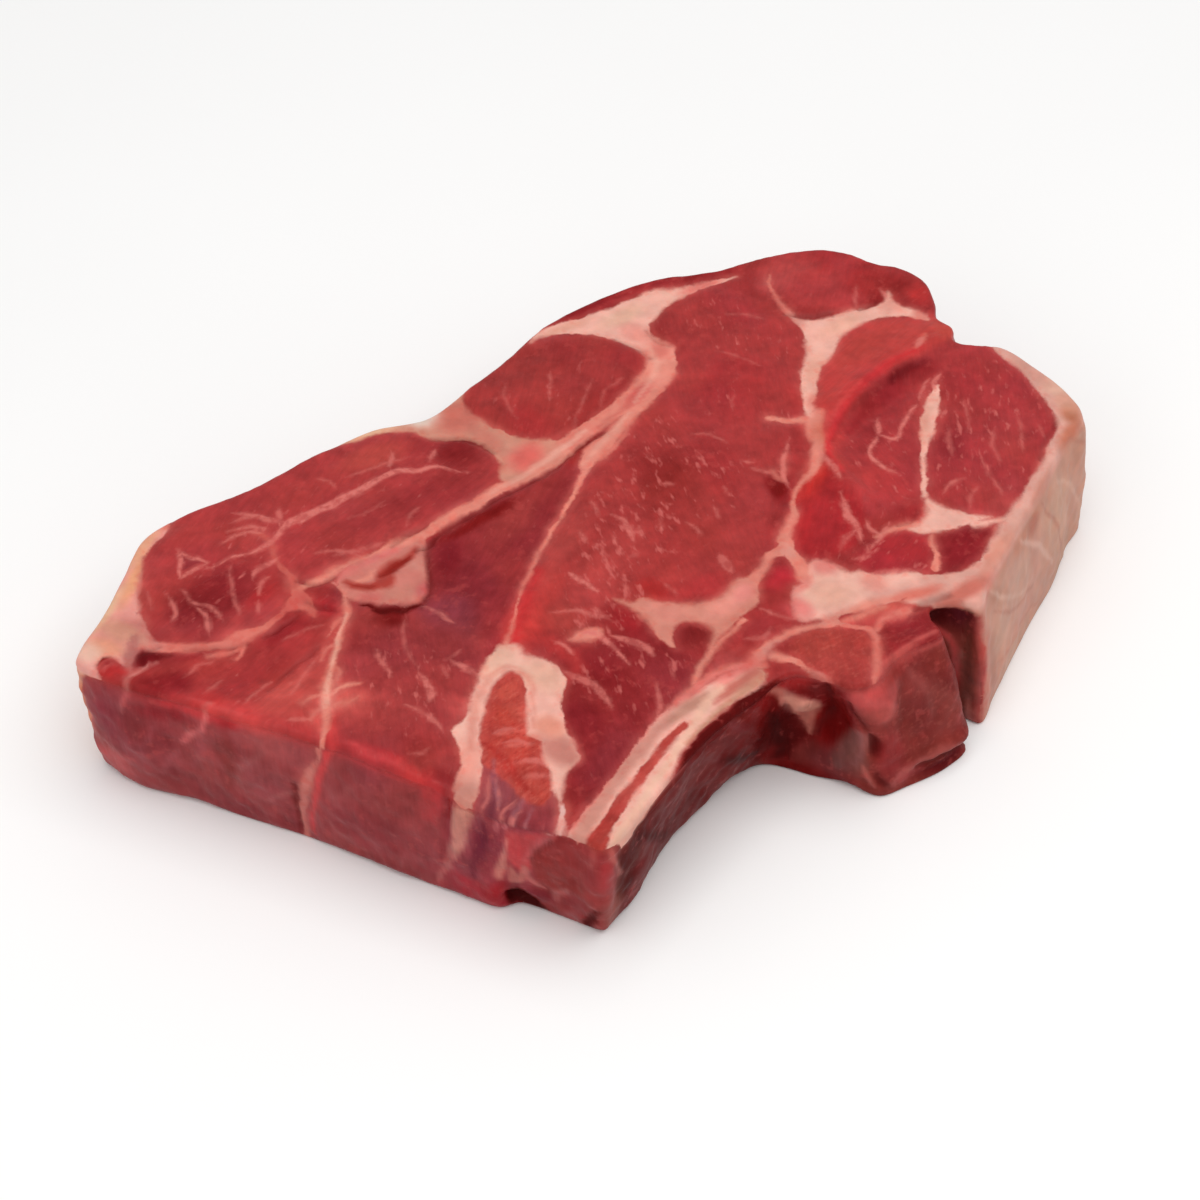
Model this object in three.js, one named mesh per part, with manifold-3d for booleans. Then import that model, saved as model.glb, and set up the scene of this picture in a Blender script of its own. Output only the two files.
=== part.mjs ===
// A thick raw beef chuck roast, sawn across the bones, lying on its cut face.
//
// Plan coordinates are millimetres on the cut face, seen from above, counted from
// a mark near the middle of the slab. At the end everything is moved so that the
// origin is at the centre of the underside. +X runs along the slab towards the
// backbone end, +Y towards the side with no bone in it, +Z up.
//
// The whole slab is lofted first, from its rim down to its foot. Each bone and
// each layer of outside fat is then taken out of it with a cutter of its own plan,
// so that neighbours share one outer skin and keep a hairline gap between them.

import * as THREE from 'three';
import { mergeVertices } from 'three/addons/utils/BufferGeometryUtils.js';
import Module from 'manifold-3d';

// ---------------------------------------------------------------- sizes (mm)

const THICKNESS = 45;            // height of the slab, cut face to cut face
const RIM_ROUND = 1.6;           // soft edge at the top
const FOOT_ROUND = 1.2;          // soft edge where it rests
const WALL_BULGE = 1.2;          // soft sides stand out at mid height
const GAP = 0.3;                 // hairline between neighbouring pieces
const ABOVE = THICKNESS + 12;    // cutters reach past the top face
const BELOW = -12;               // and past the underside

const SAMPLES_PER_STATION = 4;   // outline points between two stations
const TOP_RINGS = [0.93, 0.8, 0.62, 0.42, 0.2];   // shares of the way out from the hub
const HUB = [0, 5];              // point of the plan that sees all of the outline

const BONE_BLOCK_FOOT = 9;       // the front bone ends this high above the underside
const CARTILAGE_DEPTH = 9;       // how deep the blade cartilage reaches
const RIB_SIDE_DEPTH = 3;        // the rib's section is boat shaped: shallow at its edges
const RIB_KEEL_DEPTH = 9;        // and deeper along its middle,
const RIB_KEEL_NEAR = 0.3;       // between these shares of its width
const RIB_KEEL_FAR = 0.6;

// Point of the plan that becomes the origin: the middle of the slab's box, to half a millimetre.
const PLAN_CENTRE = [-1.36, -5.72];

// ------------------------------------------------------------ slab outline

// Stations around the slab, clockwise seen from above: [x, y] on the rim, then how
// far the foot lies from the rim in x and y. The spline through them is the outline.
const SAWN_END = [
  [-103, -46, -1, 1], [-111, -30, 0, 0], [-118, -14, -1, 1], [-125, -1, 0, 0],
  [-134, 15, 0, 0], [-143, 31, 0, 0], [-149, 41, 0, 0], [-154, 51, 2, -1],
];
const LEFT_TIP = [
  [-155.5, 57.5, 3.5, -1], [-151, 62, 2.5, -2], [-140, 68.5, 2, -2], [-127, 78, 2, -2],
  [-114, 88, 1, -3], [-104, 90, 0, -3],
];
const BACK = [
  [-88, 88, 0, -3], [-73, 86, 0, -2], [-52, 86.5, 0, -2], [-30, 85, 0, -2],
  [-15, 79, 0, -2], [3, 82, 0, -2], [22, 85.5, 0, -2], [42, 91.5, 0, -2],
  [62, 91, 0, -3], [83, 87.5, 0, -3], [103, 78, 0, -3], [122, 73, -1, -3],
];
const RIGHT_END = [
  [138, 65, -2, -2], [144, 57, -3, -1], [146, 50, -2, 0], [152, 40, -3, 0],
  [153.5, 31, -3, 0], [149, 21, -2, 0], [143.5, 14, -1, 0], [143.5, 7, -1, 0],
  [139.5, 2, 0, 0], [143, -3, -1, 0], [149.5, -9, -3, 0], [151, -25, -3, 0],
  [149.5, -40, -2, -1],
];
const FAT_SIDE = [
  [145.5, -49.5, 1, -4], [133, -54, 2, -5], [118, -61.5, 2, -6.5], [100, -70, 2, -6],
  [83, -78, 1, -7], [70, -84, 0, -8], [62.5, -88.5, -2, -8],
];
const HOLLOW = [
  [60, -86.5, -2, -5], [57, -83, -2, -2], [50, -80.5, 0, -3], [47, -84, 2, -8],
];
const BACKBONE_FRONT = [
  [45, -90, 5, -11], [36, -89, 4, -14], [26, -89, 0, -12], [18, -91.5, -1, -7],
];
const RIB_HOLLOW = [
  [11, -90, 2, -0.5], [7.5, -83, 0, 2], [1, -75, -3, 7.5],
];
const RIB_SIDE = [
  [-15, -76, 0, 9], [-32, -78, 0, 7.5], [-50, -83, 1, 7], [-66, -88, 2, 5],
  [-77, -91, 2, 5],
];
const FRONT_CORNER = [
  [-82, -90.5, 4, 4], [-85, -82, 3, 4], [-91, -70, 2, 5], [-96.5, -59, 1, -2],
];
const STATIONS = [
  ...SAWN_END, ...LEFT_TIP, ...BACK, ...RIGHT_END, ...FAT_SIDE, ...HOLLOW,
  ...BACKBONE_FRONT, ...RIB_HOLLOW, ...RIB_SIDE, ...FRONT_CORNER,
];

// ---------------------------------------------------- relief of the top face

// Broad dips and swells of the cut face: centre, half length, half width, the way
// the long axis points (degrees from +X) and the height at the middle.
const TOP_SWELLS = [
  { at: [-118, 25], length: 34, width: 17, turn: -28, height: -2.6 },   // scooped hollow
  { at: [-70, 62], length: 62, width: 24, turn: -3, height: 0.9 },      // long back muscle
  { at: [28, 66], length: 28, width: 18, turn: 4, height: 0.9 },        // oval muscle
  { at: [40, 0], length: 70, width: 30, turn: 36, height: 0.8 },        // large middle muscle
  { at: [-30, 20], length: 34, width: 14, turn: 20, height: -1.2 },     // sunken dark muscle
  { at: [105, 4], length: 36, width: 7, turn: 12, height: 1.2 },        // folded crescent
  { at: [-92, -62], length: 17, width: 11, turn: -60, height: -5 },     // crumbled bone edge
];

// Under the rim between rib and backbone the side is hollowed out.
const RIB_POCKET = { at: [3, -83, 21], radii: [9, 9, 15], turn: -55 };

// ------------------------------------------------------------ bones and fat

// Plans of the cutters, each an open-ended outline that runs past the slab's rim
// where the piece reaches it.
const FAT_CAP_PLAN = [
  [57, -75], [66, -77], [75, -75.5], [85, -71], [96, -66], [110, -61.5], [125, -54.5],
  [136, -47], [140.5, -40], [144, -28], [146, -16], [146, -7], [143, -2.5], [170, 2],
  [170, -70], [110, -110], [64, -110], [61, -98], [59, -86],
];
const EDGE_FAT_PLAN = [
  [-98, 104], [-103, 88.5], [-112, 84.5], [-121, 79], [-127, 73], [-130.5, 65],
  [-134, 58], [-140, 54.5], [-147, 52.5], [-154, 47], [-175, 40], [-175, 104],
];
const BACKBONE_PLAN = [
  [4, -69], [8, -64.5], [14, -63], [22, -66.5], [28, -72], [36, -77], [46, -80],
  [49, -86], [53, -97], [60, -112], [4, -112], [9, -93], [7, -82], [3.5, -74],
];
const FRONT_BONE_PLAN = [
  [-112, -58], [-101, -47], [-91, -38], [-82, -29], [-74, -22], [-66, -17],
  [-58, -15], [-52, -19], [-50, -28], [-54, -38], [-60, -46], [-63, -55],
  [-67, -61], [-76, -64], [-84, -72], [-96, -80],
];
const CARTILAGE_PLAN = [
  [-79, 31], [-80, 37], [-74, 40], [-66, 38.5], [-58, 36], [-50, 35], [-51, 29],
  [-56, 22], [-60, 16.5], [-65, 14], [-70, 16.5], [-75, 23],
];
// The rib lies along the rim: its inner edge and, past the rim, its outer edge.
const RIB_INNER = [[-92, -83], [-78, -77.5], [-60, -71.5], [-42, -65], [-28, -62.5], [-14, -66]];
const RIB_OUTER = [[-92, -99], [-76, -94.5], [-58, -89], [-40, -82.5], [-24, -79], [-9, -77]];

// ------------------------------------------------------------ colours

const COLOURS = {
  lean: 0x9e3436,
  fat: 0xdca890,
  rib: 0xd8a08c,
  backbone: 0x8a3d3c,
  frontBone: 0xc95a48,
  cartilage: 0xd9957f,
};

// ------------------------------------------------------------ solids

const wasm = await Module();
wasm.setup();

function toSolid(geometry) {
  const bare = geometry.clone();
  bare.deleteAttribute('normal');
  bare.deleteAttribute('uv');
  const merged = mergeVertices(bare, 1e-4);
  const mesh = new wasm.Mesh({
    numProp: 3,
    vertProperties: Float32Array.from(merged.attributes.position.array),
    triVerts: Uint32Array.from(merged.index.array),
  });
  return new wasm.Manifold(mesh);
}

function toGeometry(solid) {
  const mesh = solid.getMesh();
  const geometry = new THREE.BufferGeometry();
  geometry.setAttribute('position', new THREE.BufferAttribute(mesh.vertProperties, 3));
  geometry.setIndex(new THREE.BufferAttribute(mesh.triVerts, 1));
  geometry.computeVertexNormals();
  return geometry;
}

// A closed body through rings of equally many points, lowest ring first, each ring
// counter-clockwise seen from above; a fan closes it at both ends.
function loft(rings, bottomPoint, topPoint) {
  const count = rings[0].length;
  const points = [...rings.flat(), bottomPoint, topPoint];
  const bottom = points.length - 2;
  const top = points.length - 1;
  const faces = [];
  for (let ring = 0; ring + 1 < rings.length; ring += 1) {
    for (let i = 0; i < count; i += 1) {
      const next = (i + 1) % count;
      const a = ring * count + i;
      const b = ring * count + next;
      const c = a + count;
      const d = b + count;
      faces.push(a, b, d, a, d, c);
    }
  }
  const last = (rings.length - 1) * count;
  for (let i = 0; i < count; i += 1) {
    const next = (i + 1) % count;
    faces.push(bottom, next, i);
    faces.push(top, last + i, last + next);
  }
  const geometry = new THREE.BufferGeometry();
  geometry.setAttribute('position', new THREE.Float32BufferAttribute(points.flat(), 3));
  geometry.setIndex(faces);
  return geometry;
}

// ------------------------------------------------------------ the whole slab

function outlineLoop(stations, foot) {
  const points = stations.map(([x, y, dx, dy]) => (
    new THREE.Vector3(x + (foot ? dx : 0), y + (foot ? dy : 0), 0)
  ));
  const curve = new THREE.CatmullRomCurve3(points, true, 'centripetal');
  const total = stations.length * SAMPLES_PER_STATION;
  const loop = [];
  for (let i = 0; i < total; i += 1) {
    const point = curve.getPoint(i / total);
    loop.push([point.x, point.y]);
  }
  return loop.reverse();          // counter-clockwise
}

// Moves each point of a counter-clockwise loop outwards along its normal.
function offsetLoop(loop, distance) {
  return loop.map((point, i) => {
    const before = loop[(i + loop.length - 1) % loop.length];
    const after = loop[(i + 1) % loop.length];
    const dx = after[0] - before[0];
    const dy = after[1] - before[1];
    const length = Math.hypot(dx, dy);
    return [point[0] + (dy / length) * distance, point[1] - (dx / length) * distance];
  });
}

function mixLoops(low, high, share) {
  return low.map(([x, y], i) => [
    x + (high[i][0] - x) * share,
    y + (high[i][1] - y) * share,
  ]);
}

function topHeight(x, y) {
  let height = THICKNESS;
  for (const swell of TOP_SWELLS) {
    const turn = THREE.MathUtils.degToRad(swell.turn);
    const dx = x - swell.at[0];
    const dy = y - swell.at[1];
    const along = (dx * Math.cos(turn) + dy * Math.sin(turn)) / swell.length;
    const across = (dy * Math.cos(turn) - dx * Math.sin(turn)) / swell.width;
    height += swell.height * Math.exp(-1.5 * (along * along + across * across));
  }
  return height;
}

function atHeight(loop, z) {
  return loop.map(([x, y]) => [x, y, z]);
}

function onTop(loop, drop) {
  return loop.map(([x, y]) => [x, y, topHeight(x, y) - drop]);
}

function makeWholeSlab() {
  const rim = outlineLoop(STATIONS, false);
  const foot = outlineLoop(STATIONS, true);
  const rings = [
    atHeight(offsetLoop(foot, -FOOT_ROUND), 0),
    atHeight(foot, FOOT_ROUND),
  ];
  for (const share of [1 / 3, 2 / 3]) {
    const swelling = WALL_BULGE * Math.sin(Math.PI * share);
    rings.push(atHeight(offsetLoop(mixLoops(foot, rim, share), swelling), THICKNESS * share));
  }
  rings.push(onTop(rim, RIM_ROUND));
  const inner = offsetLoop(rim, -RIM_ROUND);
  rings.push(onTop(inner, 0));
  for (const share of TOP_RINGS) {
    const ring = inner.map(([x, y]) => [
      HUB[0] + (x - HUB[0]) * share,
      HUB[1] + (y - HUB[1]) * share,
    ]);
    rings.push(onTop(ring, 0));
  }
  return toSolid(loft(rings, [...HUB, 0], [...HUB, topHeight(...HUB)]));
}

// ------------------------------------------------------------ cutters

// Turns a plan counter-clockwise and, for a pocket, moves each of its sides out by the
// gap, so that a corner moves out along its mitre.
function planLoop(plan, grow) {
  const clockwise = THREE.ShapeUtils.area(plan.map(([x, y]) => new THREE.Vector2(x, y))) < 0;
  const loop = clockwise ? [...plan].reverse() : plan;
  const sideNormals = loop.map(([x, y], i) => {
    const [nextX, nextY] = loop[(i + 1) % loop.length];
    return new THREE.Vector2(nextY - y, x - nextX).normalize();
  });
  return loop.map(([x, y], i) => {
    const normal = sideNormals[i];
    const before = sideNormals[(i + loop.length - 1) % loop.length];
    const reach = grow / (1 + normal.dot(before));
    return [x + (normal.x + before.x) * reach, y + (normal.y + before.y) * reach];
  });
}

function prism(plan, bottom, top, grow) {
  const shape = new THREE.Shape(planLoop(plan, grow).map(([x, y]) => new THREE.Vector2(x, y)));
  const geometry = new THREE.ExtrudeGeometry(shape, {
    depth: top - bottom + grow,
    bevelEnabled: false,
  });
  geometry.translate(0, 0, bottom - grow);
  return toSolid(geometry);
}

// The boat-shaped strip of the rib, as a loft of cross-sections along its length.
// Its outer edge and its first end lie outside the slab, so a pocket for it grows
// only inwards, downwards and past its last end.
function ribStrip(grow) {
  const side = THICKNESS - RIB_SIDE_DEPTH - grow;
  const keel = THICKNESS - RIB_KEEL_DEPTH - grow;
  const sections = RIB_INNER.map((inner, i) => {
    const outer = RIB_OUTER[i];
    const across = new THREE.Vector2(outer[0] - inner[0], outer[1] - inner[1]);
    const width = across.length();
    across.normalize();
    const endShift = i === RIB_INNER.length - 1 ? grow : 0;
    const place = (distance, z) => [
      inner[0] + across.x * distance - across.y * endShift,
      inner[1] + across.y * distance + across.x * endShift,
      z,
    ];
    return [
      place(width, ABOVE), place(width, side), place(width * RIB_KEEL_FAR, keel),
      place(width * RIB_KEEL_NEAR, keel), place(-grow, side), place(-grow, ABOVE),
    ];
  });
  const middle = (section) => [0, 1, 2].map((axis) => (
    section.reduce((sum, point) => sum + point[axis], 0) / section.length
  ));
  return toSolid(loft(sections, middle(sections[0]), middle(sections[sections.length - 1])));
}

function ribPocket() {
  const geometry = new THREE.SphereGeometry(1, 20, 12);
  geometry.scale(...RIB_POCKET.radii);
  geometry.rotateZ(THREE.MathUtils.degToRad(RIB_POCKET.turn));
  geometry.translate(...RIB_POCKET.at);
  return toSolid(geometry);
}

// ------------------------------------------------------------ the pieces

const PIECES = [
  {
    name: 'fat_cap',
    colour: COLOURS.fat,
    cutter: (grow) => prism(FAT_CAP_PLAN, BELOW, ABOVE, grow),
  },
  {
    name: 'edge_fat',
    colour: COLOURS.fat,
    cutter: (grow) => prism(EDGE_FAT_PLAN, BELOW, ABOVE, grow),
  },
  {
    name: 'backbone',
    colour: COLOURS.backbone,
    cutter: (grow) => prism(BACKBONE_PLAN, BELOW, ABOVE, grow),
  },
  {
    name: 'rib_bone',
    colour: COLOURS.rib,
    cutter: ribStrip,
  },
  {
    name: 'front_bone',
    colour: COLOURS.frontBone,
    cutter: (grow) => prism(FRONT_BONE_PLAN, BONE_BLOCK_FOOT, ABOVE, grow),
  },
  {
    name: 'blade_cartilage',
    colour: COLOURS.cartilage,
    cutter: (grow) => prism(CARTILAGE_PLAN, THICKNESS - CARTILAGE_DEPTH, ABOVE, grow),
  },
];

function addPiece(group, name, solid, colour) {
  const material = new THREE.MeshStandardMaterial({ color: colour, roughness: 0.5, metalness: 0 });
  const mesh = new THREE.Mesh(toGeometry(solid), material);
  mesh.name = name;
  group.add(mesh);
}

const roast = new THREE.Group();
roast.position.set(-PLAN_CENTRE[0], -PLAN_CENTRE[1], 0);

const slab = makeWholeSlab().subtract(ribPocket());
let lean = slab;
for (const piece of PIECES) {
  addPiece(roast, piece.name, slab.intersect(piece.cutter(0)), piece.colour);
  lean = lean.subtract(piece.cutter(GAP));
}
addPiece(roast, 'lean_meat', lean, COLOURS.lean);

export default roast;
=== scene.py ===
"""A thick raw bone-in beef chuck roast, lying on its cut face on a pale floor.

The plan is in millimetres on the cut face, seen from above, counted from the same
mark as the CAD part's plan; PLAN_CENTRE moves it into the frame. The wall has a
plan of its own: (along, height), where along is the distance round the rim,
counter-clockwise from the left tip.

One closed slab is made first, with the relief of its muscles, fat and bones, and
with colour fields for its points. It is then cut into the pieces of the frame, and
each piece gets the finish of its kind.
"""

import itertools
import math

import bpy
import numpy as np
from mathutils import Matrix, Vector, kdtree
from mathutils.geometry import delaunay_2d_cdt


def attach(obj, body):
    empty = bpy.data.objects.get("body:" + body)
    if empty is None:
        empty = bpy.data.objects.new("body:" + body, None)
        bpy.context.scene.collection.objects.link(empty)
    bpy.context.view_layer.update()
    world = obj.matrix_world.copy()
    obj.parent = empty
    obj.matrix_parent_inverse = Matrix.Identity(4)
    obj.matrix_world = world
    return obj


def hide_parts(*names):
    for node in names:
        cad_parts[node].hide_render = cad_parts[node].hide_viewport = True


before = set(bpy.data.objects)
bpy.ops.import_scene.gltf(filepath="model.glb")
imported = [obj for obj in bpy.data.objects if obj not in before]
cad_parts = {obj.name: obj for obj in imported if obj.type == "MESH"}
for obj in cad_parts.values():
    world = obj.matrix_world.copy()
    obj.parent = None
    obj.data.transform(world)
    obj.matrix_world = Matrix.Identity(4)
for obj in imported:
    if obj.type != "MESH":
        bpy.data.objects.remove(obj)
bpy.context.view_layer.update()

# ---------------------------------------------------------------- sizes (mm)

MM = 0.001                      # one millimetre in the frame's metres
PLAN_CENTRE = (-1.36, -5.72)    # the plan's point over the frame's origin
THICKNESS = 45.0                # height of the slab, cut face to cut face
RIM_ROUND = 1.8                 # soft edge at the top
FOOT_ROUND = 1.2                # soft edge where it rests
WALL_BULGE = 1.2                # soft sides stand out at mid height
BEYOND = 12.0                   # cutters reach this far past both faces

FINE_STEP = 0.62                # between points near fat edges and veins; twice that elsewhere
FOOT_STEP = 2.1                 # on the underside
COLUMN_STEP = 0.95              # round the rim
ROW_STEP = 1.2                  # down the wall
LINE_STEP = 1.6                 # between two points of a smoothed line
RIM_SAMPLES = 60                # points between two stations when the rim is measured
RIM_RINGS = (0.45, 1.0, 1.6, 2.3)   # rings of points this far inside the rim
LATTICE_CLEAR = 2.8             # the cut face's lattice of points starts this far inside it
FOOT_CLEAR = 1.2                # and the underside's this far
FINE_BORDER = 3.6               # the lattice keeps all its points this near the rim
LAST_ROWS = (0.018, 0.007, 0.0015, 0)   # heights of the wall's lowest rows, as shares
RIM_INSET = 1.2                 # the wall's top takes its colours from this far inside

REACH = 6.0                     # fields are followed this far from a feature
LINE_REACH = 2.5                # and this far from a thin line
HOLE_REACH = 1.5                # a hole's edge shapes the fat this far outside it
TONE_RUN = 2.5                  # where two fats overlap, up to this depth
TONE_MIX = 1.6                  # the deeper one wins this fast, per mm
BLUSH_RUN = 3.0                 # lean is pink this far from fat
RIM_FADE = 0.9                  # the rim's fat narrows this much per mm down the wall
SEAM_FADE = 0.09                # and this much on the sides away from the bones

BONE_BLOCK_FOOT = 9             # the front bone ends this high above the underside
CARTILAGE_DEPTH = 9             # how deep the blade cartilage reaches
RIB_SIDE_DEPTH = 3              # the rib's section is boat shaped
RIB_KEEL_DEPTH = 9
RIB_KEEL_SHARES = (0.6, 0.3)    # the keel lies between these shares of its width

# ------------------------------------------------------------ slab outline

# Stations around the slab, clockwise seen from above: (x, y) on the rim, then how
# far the foot lies from the rim in x and y. The spline through them is the outline.
SAWN_END = [
    (-103, -46, -1, 1), (-111, -30, 0, 0), (-118, -14, -1, 1), (-125, -1, 0, 0),
    (-134, 15, 0, 0), (-143, 31, 0, 0), (-149, 41, 0, 0), (-154, 51, 2, -1),
]
LEFT_TIP = [
    (-155.5, 57.5, 3.5, -1), (-151, 62, 2.5, -2), (-140, 68.5, 2, -2), (-127, 78, 2, -2),
    (-114, 88, 1, -3), (-104, 90, 0, -3),
]
BACK = [
    (-88, 88, 0, -3), (-73, 86, 0, -2), (-52, 86.5, 0, -2), (-30, 85, 0, -2),
    (-15, 79, 0, -2), (3, 82, 0, -2), (22, 85.5, 0, -2), (42, 91.5, 0, -2),
    (62, 91, 0, -3), (83, 87.5, 0, -3), (103, 78, 0, -3), (122, 73, -1, -3),
]
RIGHT_END = [
    (138, 65, -2, -2), (144, 57, -3, -1), (146, 50, -2, 0), (152, 40, -3, 0),
    (153.5, 31, -3, 0), (149, 21, -2, 0), (143.5, 14, -1, 0), (143.5, 7, -1, 0),
    (139.5, 2, 0, 0), (143, -3, -1, 0), (149.5, -9, -3, 0), (151, -25, -3, 0),
    (149.5, -40, -2, -1),
]
FAT_SIDE = [
    (145.5, -49.5, 1, -4), (133, -54, 2, -5), (118, -61.5, 2, -6.5), (100, -70, 2, -6),
    (83, -78, 1, -7), (70, -84, 0, -8), (62.5, -88.5, -2, -8),
]
HOLLOW = [(60, -86.5, -2, -5), (57, -83, -2, -2), (50, -80.5, 0, -3), (47, -84, 2, -8)]
BACKBONE_FRONT = [(45, -90, 5, -11), (36, -89, 4, -14), (26, -89, 0, -12), (18, -91.5, -1, -7)]
RIB_HOLLOW = [(11, -90, 2, -0.5), (7.5, -83, 0, 2), (1, -75, -3, 7.5)]
RIB_SIDE = [
    (-15, -76, 0, 9), (-32, -78, 0, 7.5), (-50, -83, 1, 7), (-66, -88, 2, 5), (-77, -91, 2, 5),
]
FRONT_CORNER = [(-82, -90.5, 4, 4), (-85, -82, 3, 4), (-91, -70, 2, 5), (-96.5, -59, 1, -2)]
STATIONS = np.array([
    *SAWN_END, *LEFT_TIP, *BACK, *RIGHT_END, *FAT_SIDE, *HOLLOW,
    *BACKBONE_FRONT, *RIB_HOLLOW, *RIB_SIDE, *FRONT_CORNER,
], dtype=float)
FIRST_STATION = len(SAWN_END)   # the left tip, where the distance round the rim starts

# Where stretches of the wall begin, as distances round the rim.
ALONG_BONE = 118                # the sawn end of the front bone
ALONG_CORNER = 146              # the round muscle at the front corner
ALONG_RIB = 172                 # the side under the rib
ALONG_POCKET = 248              # the hollow between rib and backbone
ALONG_BACKBONE = 270            # the backbone's face
ALONG_SLOT = 326                # the slot between backbone and fat
ALONG_FAT = 331                 # the slab of outside fat
ALONG_RIGHT_END = 470           # the lean right end
ALONG_BACK = 556                # the side with no bone in it
ALONG_TIP_FAT = 806             # the fat round the left tip

# ------------------------------------------------------------ plans of the pieces

FAT_CAP_PLAN = [
    (57, -75), (66, -77), (75, -75.5), (85, -71), (96, -66), (110, -61.5), (125, -54.5),
    (136, -47), (140.5, -40), (144, -28), (146, -16), (146, -7), (143, -2.5), (170, 2),
    (170, -70), (110, -110), (64, -110), (61, -98), (59, -86),
]
EDGE_FAT_PLAN = [
    (-98, 104), (-103, 88.5), (-112, 84.5), (-121, 79), (-127, 73), (-130.5, 65),
    (-134, 58), (-140, 54.5), (-147, 52.5), (-154, 47), (-175, 40), (-175, 104),
]
BACKBONE_PLAN = [
    (4, -69), (8, -64.5), (14, -63), (22, -66.5), (28, -72), (36, -77), (46, -80),
    (49, -86), (53, -97), (60, -112), (4, -112), (9, -93), (7, -82), (3.5, -74),
]
FRONT_BONE_PLAN = [
    (-112, -58), (-101, -47), (-91, -38), (-82, -29), (-74, -22), (-66, -17),
    (-58, -15), (-52, -19), (-50, -28), (-54, -38), (-60, -46), (-63, -55),
    (-67, -61), (-76, -64), (-84, -72), (-96, -80),
]
CARTILAGE_PLAN = [
    (-79, 31), (-80, 37), (-74, 40), (-66, 38.5), (-58, 36), (-50, 35), (-51, 29),
    (-56, 22), (-60, 16.5), (-65, 14), (-70, 16.5), (-75, 23),
]
# The rib lies along the rim: its inner edge and, past the rim, its outer edge.
RIB_INNER = [(-92, -83), (-78, -77.5), (-60, -71.5), (-42, -65), (-28, -62.5), (-14, -66)]
RIB_OUTER = [(-92, -99), (-76, -94.5), (-58, -89), (-40, -82.5), (-24, -79), (-9, -77)]

# ---------------------------------------------------------------- relief (mm)

# Broad dips and swells of the cut face: x, y, half length, half width, the way the
# long axis points (degrees from +X), height at the middle.
TOP_SWELLS = [
    (-118, 25, 34, 17, -28, -2.6),      # scooped hollow
    (-70, 62, 62, 24, -3, 0.9),         # long back muscle
    (28, 66, 28, 18, 4, 0.9),           # oval muscle
    (40, 0, 70, 30, 36, 0.8),           # large middle muscle
    (-30, 20, 34, 14, 20, -1.2),        # sunken dark muscle
    (104, 6, 36, 6, 10, 1.3),           # folded crescent
    (-92, -62, 17, 11, -60, -5),        # crumbled bone edge
    (-66, 26, 15, 9, 20, 1.0),          # cartilage stands up a little
    (-65, 32, 9, 3.2, -4, -1.5),        # round a stained hollow
    (110, -5, 19, 4.5, 10, -1.7),       # groove behind the fold
    (82, -8, 10, 5, 35, -0.9),
    (66, -30, 4, 14, 0, 0.8),           # the fold's near end
    (38, -81, 8, 4, -20, -1.8),         # step in the backbone's top
    (-126, 47, 16, 5, -30, -0.8),       # furrow beside the left tip's fat
    (60, -60, 12, 8, 0, 0.6),
    (48, -33, 14, 6, 50, 0.7),
    (-14, -46, 7, 5, -60, -0.8),
    (-38, -66, 26, 2.5, 17, -0.5),      # along the rib's inner edge
]

# The same on the walls: along, height, half length, half height, how far it stands out.
WALL_SWELLS = [
    (262, 22, 10, 17, -8.5),            # hollow under the rim between rib and backbone
    (256, 30, 4.5, 8, 3.6),             # pale knob in front of it
    (266, 11, 6, 9, 2.2),
    (275, 21, 3, 5, -1.6),
    (280, 35, 6, 7, 1.4),
    (298, 9, 13, 2.6, 1.6),             # lip at the backbone's foot
    (296, 3, 12, 2.6, -1.2),
    (318, 38, 8, 7, -3.0),              # dark slot between backbone and fat
    (327, 22, 2.2, 22, -2.2),
    (20, 22, 15, 20, 1.6),              # soft bulges of the sawn end
    (36, 12, 7, 14, -0.7),
    (45, 36, 4, 10, 0.5),
    (60, 26, 11, 18, 0.8),
    (97, 22, 20, 24, 0.9),              # proud block right of the seam
    (119.5, 36, 1.4, 16, -1.3),         # groove beside the bone's pale shell
    (122, 32, 2.6, 18, 0.9),
    (128, 30, 3, 12, -0.8),
    (139, 5.5, 6, 3.4, -2.4),           # notch at the foot
    (131, 7, 5, 8, 1.3),
    (140, 30, 6, 9, 0.6),
    (153, 28, 7, 12, 0.9),              # round dark muscle
    (151, 12, 8, 3, -0.6),
    (165, 24, 4, 18, 0.6),
    (210, 20, 30, 17, -1.2),            # side under the rib
    (186, 14, 9, 12, 0.6),
    (232, 17, 12, 14, 0.8),
    (345, 22, 8, 22, 0.5),              # side of the outside fat
    (374, 36, 6, 5, -0.7),
    (400, 20, 16, 20, 0.6),
    (445, 24, 9, 20, 1.6), (462, 20, 6, 16, 0.8), (474, 22, 4, 24, -1.8),
    (490, 24, 8, 18, 1.3), (500, 24, 3, 20, -1.2), (516, 24, 10, 18, 1.9),
    (532, 22, 3.5, 20, -1.6), (545, 20, 9, 18, 1.4), (566, 22, 11, 20, 1.1),
    (590, 18, 12, 15, 1.5), (612, 30, 9, 10, -0.9), (632, 20, 16, 17, 1.4),
    (668, 24, 15, 19, 1.7), (690, 22, 5, 21, -1.5), (702, 22, 6, 18, 0.9),
    (716, 22, 4, 21, -1.7), (742, 22, 19, 19, 2.0), (775, 24, 13, 18, 1.3),
    (794, 20, 5, 20, -0.9), (815, 24, 12, 20, 0.9), (842, 22, 12, 20, 1.2),
]
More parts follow.
